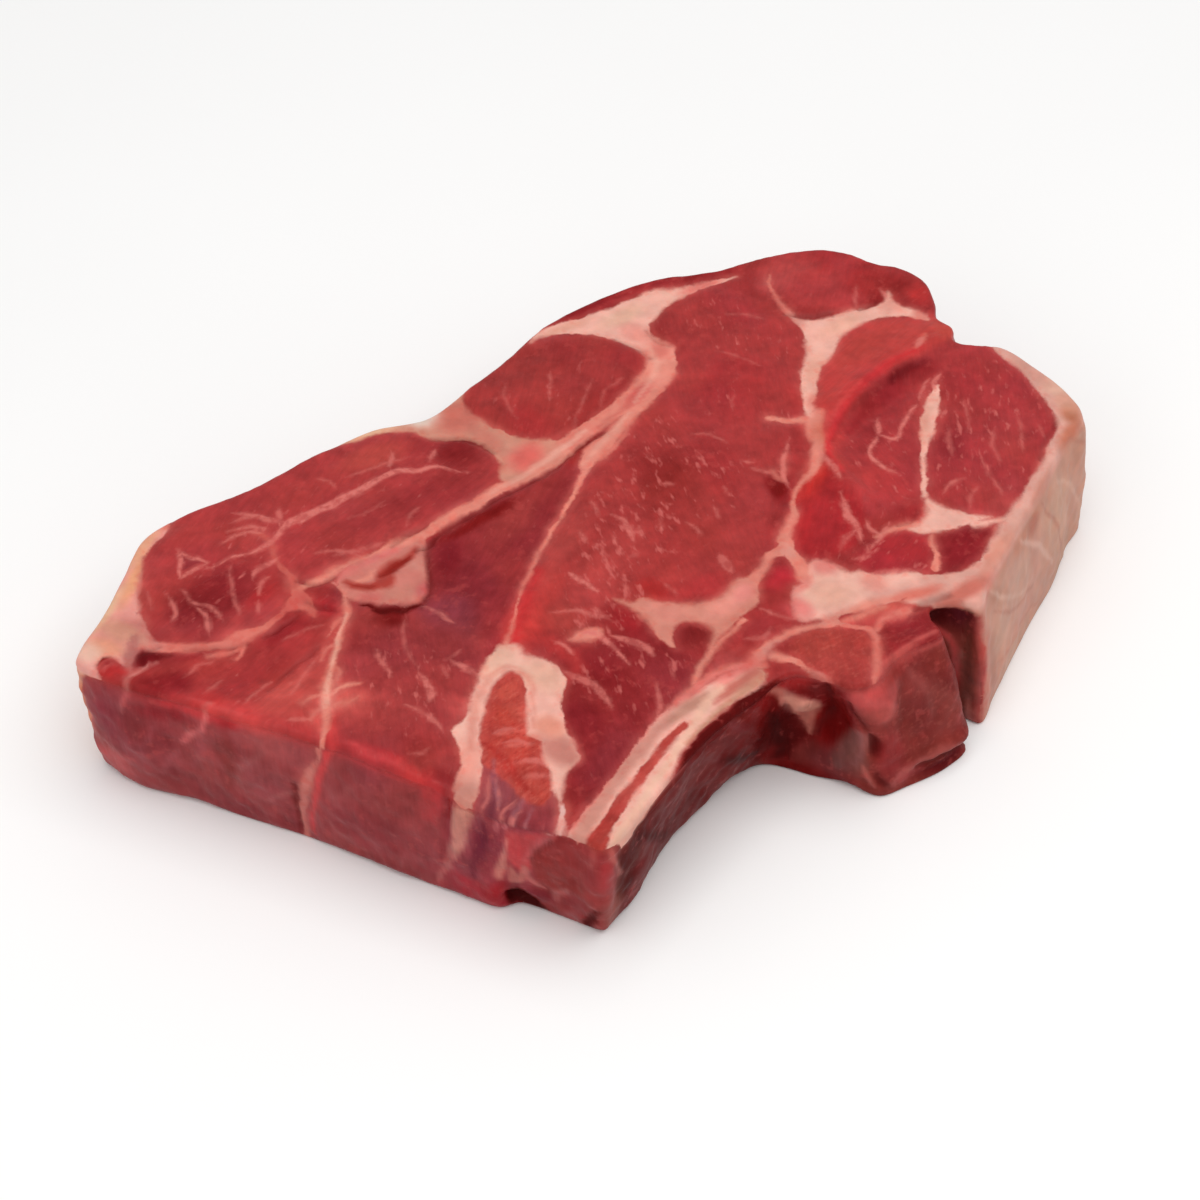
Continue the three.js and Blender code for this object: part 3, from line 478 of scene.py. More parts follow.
# Thin threads of fat in the lean: strength, then (x, y, width).
TOP_VEINS = [
    (0.7, [(-101, -69, 0.8), (-95, -66, 1.4), (-89, -64.4, 0.8)]),
    (0.6, [(-98, -66.4, 0.7), (-93, -62, 1.1), (-87, -61, 0.7)]),
    (0.5, [(-99, -58, 0.8), (-93, -55, 1), (-88, -50, 0.7)]),
    (0.55, [(-103, -73, 1), (-97, -70, 1.2), (-91, -69, 0.7)]),
    (0.5, [(-94, -61, 0.7), (-90, -56, 1), (-88, -53, 0.6)]),
    (0.5, [(-80, -40, 0.8), (-76, -41, 1.2), (-73, -43, 0.8)]),
    (0.5, [(-80, -45, 0.8), (-76, -47, 1.2), (-74, -50, 0.8)]),
    (0.6, [(-80, -53, 0.8), (-77, -56, 2), (-76, -59, 1)]),
    (0.95, [(-107, 64.5, 1), (-97, 63.5, 1.2), (-92, 62, 1.2), (-85, 62, 1.4), (-80, 64, 1.8),
        (-75, 65, 2.6), (-68, 64.5, 2.8), (-60, 64, 2.8), (-52, 63.5, 2.6), (-45, 63.5, 2.6),
        (-38, 63, 2.2), (-33, 61, 2), (-28, 58.5, 1.6), (-25, 56, 1.4), (-22, 52, 1.1),
        (-20, 50, 0.9)]),
    (0.9, [(-114, 65.5, 1), (-110, 72.5, 1.6), (-107.5, 77.5, 0.8)]),
    (0.9, [(-114, 65.5, 1), (-109, 66, 1.3), (-104, 66, 1)]),
    (0.85, [(-107.5, 77.5, 0.8), (-107, 72, 1.6), (-104, 66, 1)]),
    (0.8, [(-86, 56, 1.2), (-91, 55.5, 1.3), (-95, 54.5, 1.4), (-98, 52, 0.9)]),
    (0.7, [(-121, 63, 0.8), (-122.5, 55, 1.1), (-126, 53, 1)]),
    (0.7, [(-117, 54, 1), (-117, 49, 1.2), (-120, 43, 1.2)]),
    (0.65, [(-118, 57, 1), (-114, 51, 1.2), (-113.5, 44, 0.8)]),
    (0.5, [(-116, 62, 0.9), (-118, 56, 0.9)]), (0.45, [(-99, 62, 0.9), (-104, 54, 1), (-109, 43, 1)]),
    (0.65, [(-98, 70.5, 1), (-90, 70.5, 1.2), (-84, 67, 1.5)]),
    (0.65, [(-93, 74, 1), (-87, 72, 1.4), (-82, 68, 1.4)]),
    (0.7, [(-87, 80, 1), (-83, 75, 1.6), (-79, 69, 2), (-77, 66, 2)]),
    (0.65, [(-79, 66, 1.4), (-76, 70, 1.6), (-74, 73, 1)]),
    (0.5, [(-90, 77, 0.8), (-84, 75, 1.4), (-80, 71, 1)]),
    (0.6, [(-38, 65.5, 1.6), (-35, 69, 1.4), (-33, 73, 0.8)]), (0.7, [(-27, 61, 1.6), (-22, 65, 1)]),
    (0.4, [(-59, 76, 0.8), (-56, 73, 0.9), (-57, 68, 0.8)]),
    (0.4, [(-52, 72, 0.7), (-40, 69, 0.9), (-30, 67, 0.7)]),
    (0.45, [(-74, 46, 1), (-66, 43, 1.4), (-58, 41, 1.2)]),
    (0.5, [(-78, 50, 1), (-72, 47, 1.2), (-67, 41, 1)]),
    (0.35, [(-50, 42, 0.8), (-45, 46, 0.9), (-41, 47, 0.7)]),
    (0.3, [(-62, 56, 0.8), (-55, 54, 0.8), (-48, 55, 0.6)]),
    (0.6, [(-100, 46, 1), (-96, 50, 1.2), (-92, 51, 0.8)]), (0.5, [(-104, 40, 1), (-101, 45, 1)]),
    (0.5, [(19, 60, 0.8), (23, 64, 0.9), (28, 71, 0.7)]),
    (0.35, [(16, 44, 0.8), (21, 49, 0.9), (28, 54, 0.8), (37, 60, 0.6)]),
    (0.3, [(30, 48, 0.7), (36, 53, 0.8), (46, 55, 0.6)]),
    (0.3, [(6, 60, 0.7), (8, 68, 0.8), (14, 76, 0.6)]),
    (0.6, [(-50, -33, 1.2), (-48, -40, 2.2), (-46.5, -46, 2.5), (-48, -54, 1.2)]),
    (0.75, [(-45, -22, 0.8), (-43, -26, 1.2), (-44, -31, 0.8)]),
    (0.9, [(-36, -25, 3), (-33, -29, 2.2), (-33, -36, 1.2), (-33.5, -44, 0.8)]),
    (0.75, [(-30.5, -31, 1), (-28, -36, 2.2), (-25.5, -41, 2.2), (-26, -45.5, 1.1)]),
    (0.85, [(-24, -3.5, 1.3), (-22.8, -9, 1.7), (-22, -15.5, 1)]),
    (0.55, [(-31, -18, 0.8), (-29, -23, 1.4), (-26, -25, 1)]),
    (0.75, [(2, 8, 1.1), (3, 4, 1.5), (1, -2, 1.3), (-0.5, -6, 0.8)]),
    (0.5, [(-10, 8, 1), (-11.5, 3, 1)]), (0.5, [(-3, 1, 0.9), (-5, -3, 0.9)]),
    (0.5, [(-2, -10, 0.9), (-6, -10.5, 1.4)]), (0.5, [(1, 17, 0.8), (-2, 9, 0.9)]),
    (0.45, [(22, 9.5, 1.2), (25, 6.5, 1.2)]), (0.4, [(36, -4, 0.8), (34, -9, 0.9)]),
    (0.55, [(48, 1, 0.9), (50, -2, 1.2)]), (0.6, [(48, -3, 1.2), (49.5, -6, 1.4), (51, -9, 0.8)]),
    (0.5, [(17, -9, 1.2), (17, -16, 0.8)]), (0.45, [(28, -9, 1), (25, -15, 0.8)]),
    (0.5, [(5, -1, 0.8), (2, -6, 1)]), (0.4, [(12, -2, 0.8), (9, -8, 0.8)]),
    (0.55, [(-33, -54, 0.9), (-36, -60, 1.5), (-40, -64, 1)]),
    (0.35, [(-24, -50, 0.8), (-28, -57, 0.9)]), (0.5, [(16, -25, 1), (14, -30, 3), (13, -34, 1.4)]),
    (0.4, [(-5, -24, 0.8), (-4, -31, 1)]), (0.4, [(-14, -16, 0.8), (-15, -21, 1)]),
    (0.35, [(-27, -19, 0.8), (-28, -25, 0.8)]),
    (0.6, [(-85, 8, 0.8), (-87, 3, 1.4), (-88, -2, 1.2), (-89, -5, 0.6)]),
    (0.8, [(-82, -8, 0.7), (-82.5, -12, 1.5), (-84, -17, 2.5), (-87, -20, 1.2)]),
    (0.6, [(-93, -16, 0.7), (-91, -21, 1.3), (-90, -27, 1.3), (-90, -31, 0.8)]),
    (0.8, [(-72, -9, 0.8), (-71, -14, 1.5), (-69.5, -19, 2.5)]),
    (0.4, [(-75, -10, 0.8), (-77, -16, 1)]), (0.6, [(-65, 13, 1), (-63.5, 6, 1.4), (-62, 1, 0.8)]),
    (0.35, [(-71, 14, 0.8), (-76, 8, 1), (-80, 0, 0.8), (-81, -7, 0.7)]),
    (0.35, [(-67, -8, 0.8), (-70, -9, 1.2), (-74, -9, 0.8)]),
    (0.35, [(-103, -32, 0.8), (-99, -34, 1.2), (-96, -33, 0.8)]),
    (0.55, [(-38, -13, 0.8), (-33, -17, 1.2), (-29, -22, 1), (-26.6, -27, 0.6)]),
    (0.95, [(95, -9.5, 0.9), (91.6, -13.4, 1.2), (89, -16.9, 1.3)]),
    (0.95, [(89, -16.9, 1.2), (90.2, -20, 1.4), (92, -21, 1.3), (96.5, -18.4, 1.2), (100.3, -16.4, 1.1),
        (108.8, -12.6, 0.9)]),
    (0.95, [(89, -16.9, 1.3), (83, -19.7, 1.4), (80, -22.9, 1.5), (79.7, -28.3, 1.3),
        (81.3, -33.7, 0.7)]),
    (0.8, [(117, -12, 1), (121, -8, 1.4), (125, -6.6, 0.8)]),
    (0.7, [(110, -12, 0.8), (115, -8.6, 1.2), (121, -6, 0.7)]),
    (0.7, [(70, -10, 1.2), (67.4, -18, 1.6), (65, -25, 1)]),
    (0.7, [(66.4, -0.5, 0.8), (59, -5.9, 1.1), (53.2, -12.4, 1.3), (51.3, -18, 0.8)]),
    (0.85, [(62, -28, 0.8), (60.8, -31.5, 1.5), (56.8, -37.3, 2.2), (55.2, -43.3, 1.6),
        (51.3, -48.9, 0.9)]),
    (0.75, [(51.6, -52.8, 1), (55, -51.4, 1.3), (59.3, -50.1, 1.6), (65.4, -47.9, 1)]),
    (0.7, [(59.3, -50.1, 1), (58, -45.5, 1.3), (59.6, -41.4, 0.7)]),
    (0.4, [(59, -31, 0.8), (56, -38, 1.2), (54, -44, 1)]),
    (0.5, [(44, -47, 1), (50, -44, 1.4), (56, -43, 1.2)]),
    (0.6, [(86, -48.5, 0.8), (90, -47, 1.4), (96, -47.5, 1)]),
    (0.4, [(100, -60, 0.9), (103, -52, 1), (106, -44, 0.8)]),
    (0.4, [(108, -50, 0.8), (114, -41, 1), (120, -36, 0.8)]),
    (0.35, [(112, -33, 0.8), (118, -26, 0.9), (122, -20, 0.7)]),
    (0.4, [(118, -50, 0.8), (124, -44, 0.9), (129, -37, 0.8)]),
    (0.35, [(128, -50, 0.8), (131, -44, 0.9)]), (0.4, [(88, -58, 0.8), (92, -54, 1), (97, -53, 0.8)]),
    (0.35, [(100, -38, 0.8), (104, -32, 1), (108, -27, 0.8)]),
    (0.5, [(45, -52, 1), (50, -54, 1.6), (53, -50, 1)]),
    (0.45, [(46, -60, 1), (50, -62, 1.4), (56, -66, 1)]),
    (0.7, [(126, 5.5, 1.2), (129, 7.5, 2.2), (131, 9, 1)]),
    (0.45, [(127, 35, 1.2), (130, 39, 1), (133, 43, 0.7)]), (0.6, [(137, 31, 1.6), (139, 36, 1.2)]),
    (0.35, [(90, 58, 0.8), (96, 53, 1), (98, 48, 0.8)]),
    (0.3, [(76, 46, 0.8), (80, 38, 0.9), (82, 30, 0.7)]), (0.3, [(60, 20, 0.8), (66, 26, 0.8)]),
    (0.4, [(44, 20, 0.6), (48, 16, 0.8), (50, 10, 0.6)]), (0.35, [(-128, 60, 1), (-124, 68, 0.8)]),
    (0.5, [(-127, 14, 0.8), (-122, 15.5, 1), (-116, 17, 0.7)]),
    (0.35, [(-134, 24, 0.9), (-126, 26, 0.9)]),
    (0.4, [(-138, 19, 1.4), (-135, 20, 1.4), (-133, 19, 0.8)]),
    (0.5, [(-122, 1, 1), (-119, -1, 1.6), (-116, -3, 1)]),
    (0.4, [(-116, 8, 0.8), (-108, 12, 0.9), (-100, 17, 0.7)]),
    (0.35, [(-105, 28, 0.8), (-98, 27, 0.9), (-92, 25, 0.7)]),
    (0.45, [(-135, 34, 0.8), (-129, 35, 1.2), (-124, 34, 0.8)]),
    (0.55, [(10, -50, 1), (13, -56, 1.2), (16, -60, 1.4)]),
    (0.4, [(-2, -56, 1), (4, -60, 1.2), (8, -57, 1)]),
]

# Creases where one muscle dips under the next, sunk in and darkened with painted shade: depth share,
# then (x, y, width).
TOP_CREASES = [
    (0.6, [(-53, 32.5, 1), (-50, 31.5, 1.4), (-45, 34, 1.4), (-40, 34.6, 1.4), (-30, 35, 1.4),
        (-20, 35, 1.3), (-5, 35, 1.3), (5, 36.2, 1.2), (15, 38, 1), (24, 38.8, 0.6)]),
    (0.55, [(-108, 32.2, 0.6), (-102, 32, 1.2), (-96, 33, 0.6)]),
    (0.6, [(-79, 24.4, 1), (-76, 20.4, 1.6), (-71.6, 16.4, 1.8), (-66, 13.8, 1)]),
    (0.5, [(-65, 13, 1), (-60, 16.5, 1.2), (-55, 24, 1.2), (-51, 30, 1.6)]),
    (0.5, [(-20, 70, 1.4), (-14, 65, 2), (-9.5, 59, 1.6), (-8.3, 53, 1)]),
    (0.45, [(-133, 48, 1), (-139, 48, 2), (-141, 44, 1.4)]),
    (0.4, [(-128, 43, 1), (-120, 38, 1), (-112, 34, 1)]),
    (0.35, [(76, -9.5, 1), (88, -3.4, 1.6), (100, -0.4, 2), (112, 0.8, 2), (122, 0.6, 1)]),
    (0.5, [(127, 33.6, 0.8), (130, 32.6, 1), (134, 32.4, 0.6)]),
    (0.5, [(106, 46, 1), (110, 41.5, 1.2), (118, 37.5, 1)]),
    (0.5, [(-88, 44, 1), (-84, 39, 1), (-78, 39, 0.8)]), (0.4, [(-105, -50.4, 1.2), (-101, -47.4, 1)]),
    (0.5, [(-58, 38.6, 0.8), (-50, 39.6, 1.2), (-44, 39.2, 0.8)]),
    (0.45, [(136, -46, 1), (130, -49, 1.4), (120, -55, 1)]),
    (0.4, [(66, -50, 0.8), (70, -51.3, 1), (75, -49, 0.8)]),
    (0.4, [(-119, 14, 1), (-110, 16.5, 1.2), (-98, 19, 1)]),
    (0.5, [(-90, 35, 1), (-88, 30, 2), (-86, 27, 1)]),
    (0.4, [(66, 58, 0.8), (64.5, 63, 1.2), (66, 68, 0.8)]),
    (0.35, [(58.4, 57, 0.8), (58, 64, 1.2), (55, 71, 0.8)]),
    (0.5, [(46, -79, 1.2), (50, -78.5, 2.2), (57, -80, 2)]),
]

# Soft streaks: colour, strength, softness, then (x, y, width). First those in the lean,
# then those in fat and bone.
TOP_STREAKS = [
    # The bright red edge over the sawn end, a painted highlight along its rim, and two paler lines near
    # it.
    ((204, 66, 68), 0.4, 2.8, [(-141, 31.5, 1.6), (-132.5, 15.5, 2.2), (-123.5, 0, 2.4),
        (-117, -12, 2.4), (-110, -28.5, 2.2), (-103, -43, 1.6)]),
    ((216, 92, 90), 0.45, 1.2, [(-138, 25, 0.4), (-134, 17.6, 1.2), (-130, 10, 0.5)]),
    ((216, 88, 86), 0.4, 1.2, [(-114, -16, 0.4), (-110, -26, 1.2), (-106, -35, 0.5)]),
    # Left tip: grey-pink column, red lump with a painted highlight, the crack above it in painted
    # shade, and painted shade in the furrow beside the fat.
    ((186, 106, 100), 0.9, 1.4, [(-137.2, 55, 3), (-140, 52, 4.4), (-143, 48.5, 3.4), (-145.6, 45, 2.2),
        (-148.3, 41.9, 1.4), (-150.5, 38.5, 0.8)]),
    ((206, 128, 120), 0.8, 0.8, [(-146, 43.6, 0.8), (-143, 43, 1.2), (-140, 43, 1),
        (-137.5, 42.6, 0.4)]),
    ((192, 52, 52), 0.75, 1.8, [(-152.6, 48.8, 1.6), (-150.4, 47.6, 3.2), (-148.4, 47.4, 2.2),
        (-147, 45.6, 2.4)]),
    ((226, 112, 104), 0.5, 0.9, [(-151.4, 49.2, 0.6), (-149.6, 50, 1), (-148.2, 49.6, 0.5)]),
    ((120, 28, 26), 0.9, 0.8, [(-151.4, 52.4, 0.6), (-149, 53.6, 1.4), (-146.4, 53.2, 0.8)]),
    ((112, 36, 38), 0.8, 1.6, [(-142.5, 45.6, 1), (-139.6, 47.4, 3), (-136, 45, 2.4), (-132, 43, 0.8)]),
    # Pink beside the seam that runs to the rim, and its bright red side.
    ((204, 84, 80), 0.6, 2.2, [(-84, 27, 1), (-92, 20, 2), (-101, 12, 3), (-108, 3, 3), (-114, -6, 2)]),
    ((222, 124, 114), 0.7, 1.8, [(-98, 8, 0.6), (-102.6, 4.4, 3), (-107, 1.4, 4), (-110, -3, 2.4)]),
    ((212, 70, 68), 0.7, 1.4, [(-110, -7, 1), (-113.5, -11, 2.2), (-117, -15.5, 2)]),
    # Fold in the right muscles: its ridge in painted highlight, the pink painted highlight before it
    # and the painted shade behind it.
    ((208, 56, 60), 0.85, 1.5, [(67.6, -22, 0.8), (70.4, -14.2, 1.6), (77.6, -7, 2), (87.6, -1.7, 2),
        (98, 2.9, 2.2), (109.8, 4.9, 2.4), (121.5, 5.2, 2), (127, 5, 1)]),
    ((226, 100, 94), 0.3, 0.8, [(80, -3.4, 0.5), (90, 1.2, 1), (102, 5.4, 0.5)]),
    ((196, 72, 68), 0.6, 2.4, [(88, 6, 2), (100, 11, 3), (114, 13, 4), (130, 11, 3)]),
    ((146, 40, 45), 0.75, 2.8, [(84, -9, 1), (95, -4.6, 4), (107, -1.6, 5), (117, -1.6, 5),
        (125, -2.2, 3)]),
    ((110, 34, 40), 0.6, 2.2, [(110, 0.6, 1), (118, 1, 3), (125, 0.4, 2)]),
    ((226, 126, 112), 0.7, 0.9, [(126, 6, 0.6), (130, 7.6, 1.6), (133, 9, 0.6)]),
    # Orange-red wedge before the backbone.
    ((212, 96, 86), 0.9, 2.0, [(25, -69, 2), (31, -71.2, 3), (37, -72.8, 3.4), (46, -75.4, 3.4),
        (56, -78.8, 3), (60, -82, 3)]),
    ((230, 150, 130), 0.6, 1.2, [(26, -68.6, 1), (33, -70.6, 1.6), (40, -72.4, 1)]),
    # Shadow under the cartilage.
    ((104, 22, 22), 0.85, 1.0, [(-78.6, 24, 0.6), (-76, 19.8, 1.6), (-72.8, 16.6, 2.2),
        (-69.4, 14.6, 2), (-65.6, 13.8, 1)]),
    # Faint seam between the dark muscle and the middle one.
    ((210, 98, 92), 0.55, 1.4, [(-44, -4, 0.6), (-30, 6, 1), (-15, 15.6, 1.4), (-2, 22.6, 1.4),
        (6, 28, 1.6)]),
    ((214, 56, 58), 0.7, 2.4, [(-56, -17, 1.6), (-48, -10.6, 3), (-40, -4, 3), (-30, 3.4, 1.6)]),
    ((204, 78, 76), 0.7, 1.8, [(26, -70, 1), (32, -74, 2), (44, -78, 3)]),
    # Dark brown under the rib's far end, partly painted shade under its edge.
    ((96, 34, 32), 0.95, 1.0, [(-54, -87, 2), (-44, -82.6, 4.6), (-34, -79, 5), (-22, -76.8, 5),
        (-8, -76, 5), (-2, -77, 4)]),
    # Edges of the backbone's cut top.
    ((206, 96, 90), 0.8, 1.0, [(18, -90.6, 1), (26, -88.4, 1.4), (36, -88.2, 1.2), (44, -89, 0.8)]),
    ((200, 78, 74), 0.7, 1.6, [(8, -88, 1.4), (6, -79, 2), (5.4, -71, 2)]),
    # Sawn bone: red-lit ridges of the marrow and purple shadows below it.
    ((222, 108, 98), 0.6, 0.8, [(-79, -41, 0.4), (-76, -42.6, 1.2), (-72.6, -44.4, 0.6)]),
    ((226, 116, 106), 0.65, 0.8, [(-80, -46.6, 0.5), (-76.5, -48.6, 1.4), (-73, -50.6, 0.6)]),
    ((224, 112, 104), 0.6, 0.8, [(-82, -52, 0.5), (-78.5, -54.4, 1.4), (-75.4, -56.4, 0.6)]),
    ((226, 120, 112), 0.6, 0.8, [(-83, -57.4, 0.4), (-80, -59.6, 1.3), (-77.4, -62, 0.6)]),
    ((180, 52, 48), 0.6, 1.0, [(-84, -40, 0.6), (-83, -48, 1.8), (-84, -56, 1.8), (-83.6, -63, 1)]),
    ((176, 116, 126), 0.55, 0.9, [(-86, -62, 0.5), (-92, -65, 1), (-98, -69.6, 0.6)]),
    ((176, 116, 126), 0.5, 0.9, [(-86.3, -66, 0.5), (-92.4, -69.8, 1)]),
    ((120, 58, 70), 0.6, 1.4, [(-88, -52, 0.8), (-93, -58, 2), (-99, -62, 1.4)]),
    ((172, 108, 118), 0.5, 0.9, [(-85, -48, 0.6), (-89.6, -54, 1), (-92, -59, 0.6)]),
]
FAT_STREAKS = [
    # The sawn rib: greyish pink upper strip with a pink edge, strips of its far end.
    ((208, 140, 126), 0.9, 1.6, [(-86, -84.6, 4), (-70, -77.4, 3.6), (-55, -71.4, 3.6), (-42, -67.4, 3),
        (-36, -66.4, 2)]),
    ((226, 122, 114), 0.8, 1.0, [(-84, -80.6, 0.8), (-70, -74.9, 1), (-55, -69, 1.2), (-42, -64.2, 1.4),
        (-30, -62.4, 2), (-18, -62.6, 3), (-8, -65, 3)]),
    ((190, 132, 114), 0.8, 1.4, [(-38, -67.4, 1), (-31, -66.6, 3), (-24, -66.4, 2)]),
    ((196, 130, 110), 0.9, 1.8, [(-20, -69.6, 2), (-13, -69.4, 4), (-6, -70, 4)]),
    # Grey-pink edge of the lean round the left tip, and the column below it.
    ((210, 132, 122), 0.7, 1.2, [(-117, 81, 0.8), (-124.4, 72.4, 1.4), (-129, 64, 1.6), (-132, 56, 1.8),
        (-133, 50, 1.6)]),
    ((184, 110, 104), 0.8, 1.4, [(-137, 55.6, 1.6), (-139.6, 53.2, 3), (-141.8, 50.4, 3.4),
        (-143.6, 47.6, 3)]),
    ((242, 190, 166), 0.8, 1.2, [(-82, -93.6, 2), (-66, -86.4, 1.4), (-50, -79.6, 1.6), (-38, -74, 2),
        (-28, -69.6, 2.4), (-19, -66.8, 1.4)]),
    ((200, 104, 94), 0.7, 1.2, [(-24, -70.4, 0.8), (-14, -68.4, 2.4), (-7, -68, 2)]),
    ((204, 146, 122), 0.9, 1.0, [(-40, -77, 1), (-30, -74, 1.4), (-18, -72.2, 1.6), (-8, -71.6, 1.4)]),
    # Striped lengths of fat round the oval muscle.
    ((240, 176, 158), 0.7, 1.0, [(-20, 38.4, 0.6), (-5, 39.4, 1.4), (8, 41, 2), (20, 42.6, 1.2)]),
    ((212, 108, 98), 0.6, 1.0, [(24, 41.6, 0.6), (34, 43.4, 1.4), (44, 46, 1.6), (52, 49.6, 1)]),
    ((240, 166, 148), 0.7, 1.0, [(40, 44, 0.8), (50, 48, 1.6), (58, 54, 1.6), (61, 62, 1)]),
    ((236, 170, 152), 0.6, 0.9, [(10, 31, 0.6), (18, 34.4, 1.6), (28, 38, 1.4), (36, 41, 0.8)]),
    # The hollow in the cartilage and a painted highlight in it.
    ((176, 62, 54), 0.9, 1.3, [(-76.6, 35, 1.2), (-74.6, 31, 3), (-71.4, 27.8, 3.4), (-68.2, 27.6, 5),
        (-65.4, 31.4, 4), (-61, 32, 3.4), (-56, 32.4, 2.4), (-53, 33.2, 1)]),
    ((146, 40, 34), 0.85, 1.0, [(-66.8, 31, 1.6), (-63.4, 31, 2.8), (-59.6, 31.6, 2.4),
        (-56, 32.2, 1.4)]),
    ((150, 44, 36), 0.6, 0.8, [(-75.6, 32.6, 0.6), (-73.4, 29, 1.2), (-71, 27.4, 0.8)]),
    ((236, 146, 128), 0.95, 0.8, [(-74, 33.6, 0.6), (-71.6, 33, 2), (-69, 33.2, 1.6),
        (-67.6, 34, 0.6)]),
    ((224, 116, 110), 0.7, 0.8, [(-79.8, 35.4, 0.8), (-77.4, 38.4, 1), (-72, 39.6, 0.8)]),
    # Pale core of the seam to the rim.
    ((244, 178, 158), 0.7, 0.8, [(-84, 24.6, 0.4), (-92, 17.4, 0.7), (-100, 9.6, 1), (-106, 3.6, 1.6),
        (-110, -2, 1)]),
    # Pink edge between the front bone's shell and its marrow.
    ((226, 132, 116), 0.5, 1.2, [(-88, -40, 0.8), (-82, -33, 1.4), (-75, -26.4, 1.4), (-66, -22, 1.2),
        (-60, -24, 1.2), (-59, -31, 1.2), (-63, -37, 1), (-70, -45, 1)]),
]


# ------------------------------------------------------- tones of the lean

# Whole muscles: colour, softness of the border, then the outline.
MUSCLES = [
    ((174, 62, 61), 4, [(-44, -8), (-24, 8), (0, 24), (14, 31), (30, 36), (50, 42), (58, 52), (66, 54),
        (74, 70), (98, 72), (106, 50), (102, 34), (86, 16), (72, 4), (60, -10), (40, -22), (24, -34),
        (0, -34), (-14, -22), (-30, -22)]),
    ((178, 64, 64), 2.5, [(-133, 50), (-132, 58), (-128, 67), (-122, 76), (-114, 82), (-105, 86),
        (-99, 94), (-73, 92), (-50, 90), (-41, 85), (-33, 81.5), (-25, 77.5), (-19.5, 69), (-9.5, 60),
        (-8.5, 54), (-10.5, 46), (-15, 41), (-30, 39.5), (-60, 40), (-84, 41), (-98, 37), (-105, 35.5),
        (-119, 40), (-126, 44)]),
    ((169, 60, 58), 2, [(-2, 79), (-2.5, 70), (-1.5, 61), (1.5, 53), (7, 47), (15, 44.7), (28, 45.3),
        (42, 48), (52, 51.5), (57.5, 57), (58, 62), (55, 70), (50, 77.5), (43, 82), (35, 84.8),
        (25, 90), (8, 87)]),
    ((152, 52, 55), 2, [(-90, 22), (-79, 36), (-50, 34), (-20, 37), (5, 37), (18, 38), (9, 28),
        (-3, 21), (-27, 7.5), (-38, -0.5), (-50, -10.5), (-57, -15), (-64, -12), (-72, -4), (-80, 4),
        (-84, 12)]),
    ((160, 48, 50), 1.5, [(40, 94), (44, 89.5), (52, 87), (70, 84.5), (80, 82.5), (88, 79), (100, 75),
        (112, 74), (106, 84), (84, 94), (60, 98)]),
    ((182, 64, 64), 3, [(110, 60), (109, 48), (114, 40), (124, 36), (134, 40), (150, 44), (150, 62),
        (136, 72), (118, 70)]),
    ((196, 68, 66), 2, [(74, -2), (84, 10), (96, 20), (110, 26), (126, 26), (137, 20), (144, 14),
        (144, 4), (128, 3), (112, 3), (98, 0), (84, -6), (76, -9)]),
    ((174, 60, 62), 2, [(66, -12), (78, -8), (92, 0), (112, 3), (140, 3), (150, -8), (148, -30),
        (140, -44), (110, -62), (90, -66), (84, -48), (70, -50), (62, -42), (62, -26)]),
    ((174, 47, 50), 1.5, [(62, -16), (55, -18), (46, -24), (40, -30), (36, -36), (38, -44), (48, -46),
        (56, -44), (64, -36), (66, -24)]),
    ((172, 50, 55), 1.5, [(48, -50), (60, -50), (68, -54), (70, -60), (62, -68), (48, -68), (44, -60)]),
    ((150, 46, 50), 1.5, [(70, -60), (80, -63), (90, -66), (86, -72), (72, -76), (60, -73), (64, -66)]),
    ((150, 48, 50), 3, [(-50, -32), (-34, -34), (-20, -36), (-19, -50), (-12, -56), (-26, -62),
        (-44, -65), (-62, -72), (-80, -78), (-78, -68), (-66, -60), (-60, -46), (-50, -38)]),
    ((172, 60, 58), 3, [(-147, 41), (-128, 46), (-112, 36), (-90, 33), (-82, 26), (-98, 10), (-110, -1),
        (-118, -12), (-126, -4), (-136, 14)]),
    ((166, 62, 62), 3, [(-80, 28), (-97, 11), (-108, 0), (-116, -12), (-104, -45), (-96, -46),
        (-88, -32), (-66, -17), (-58, -14), (-62, 0), (-66, 12)]),
]
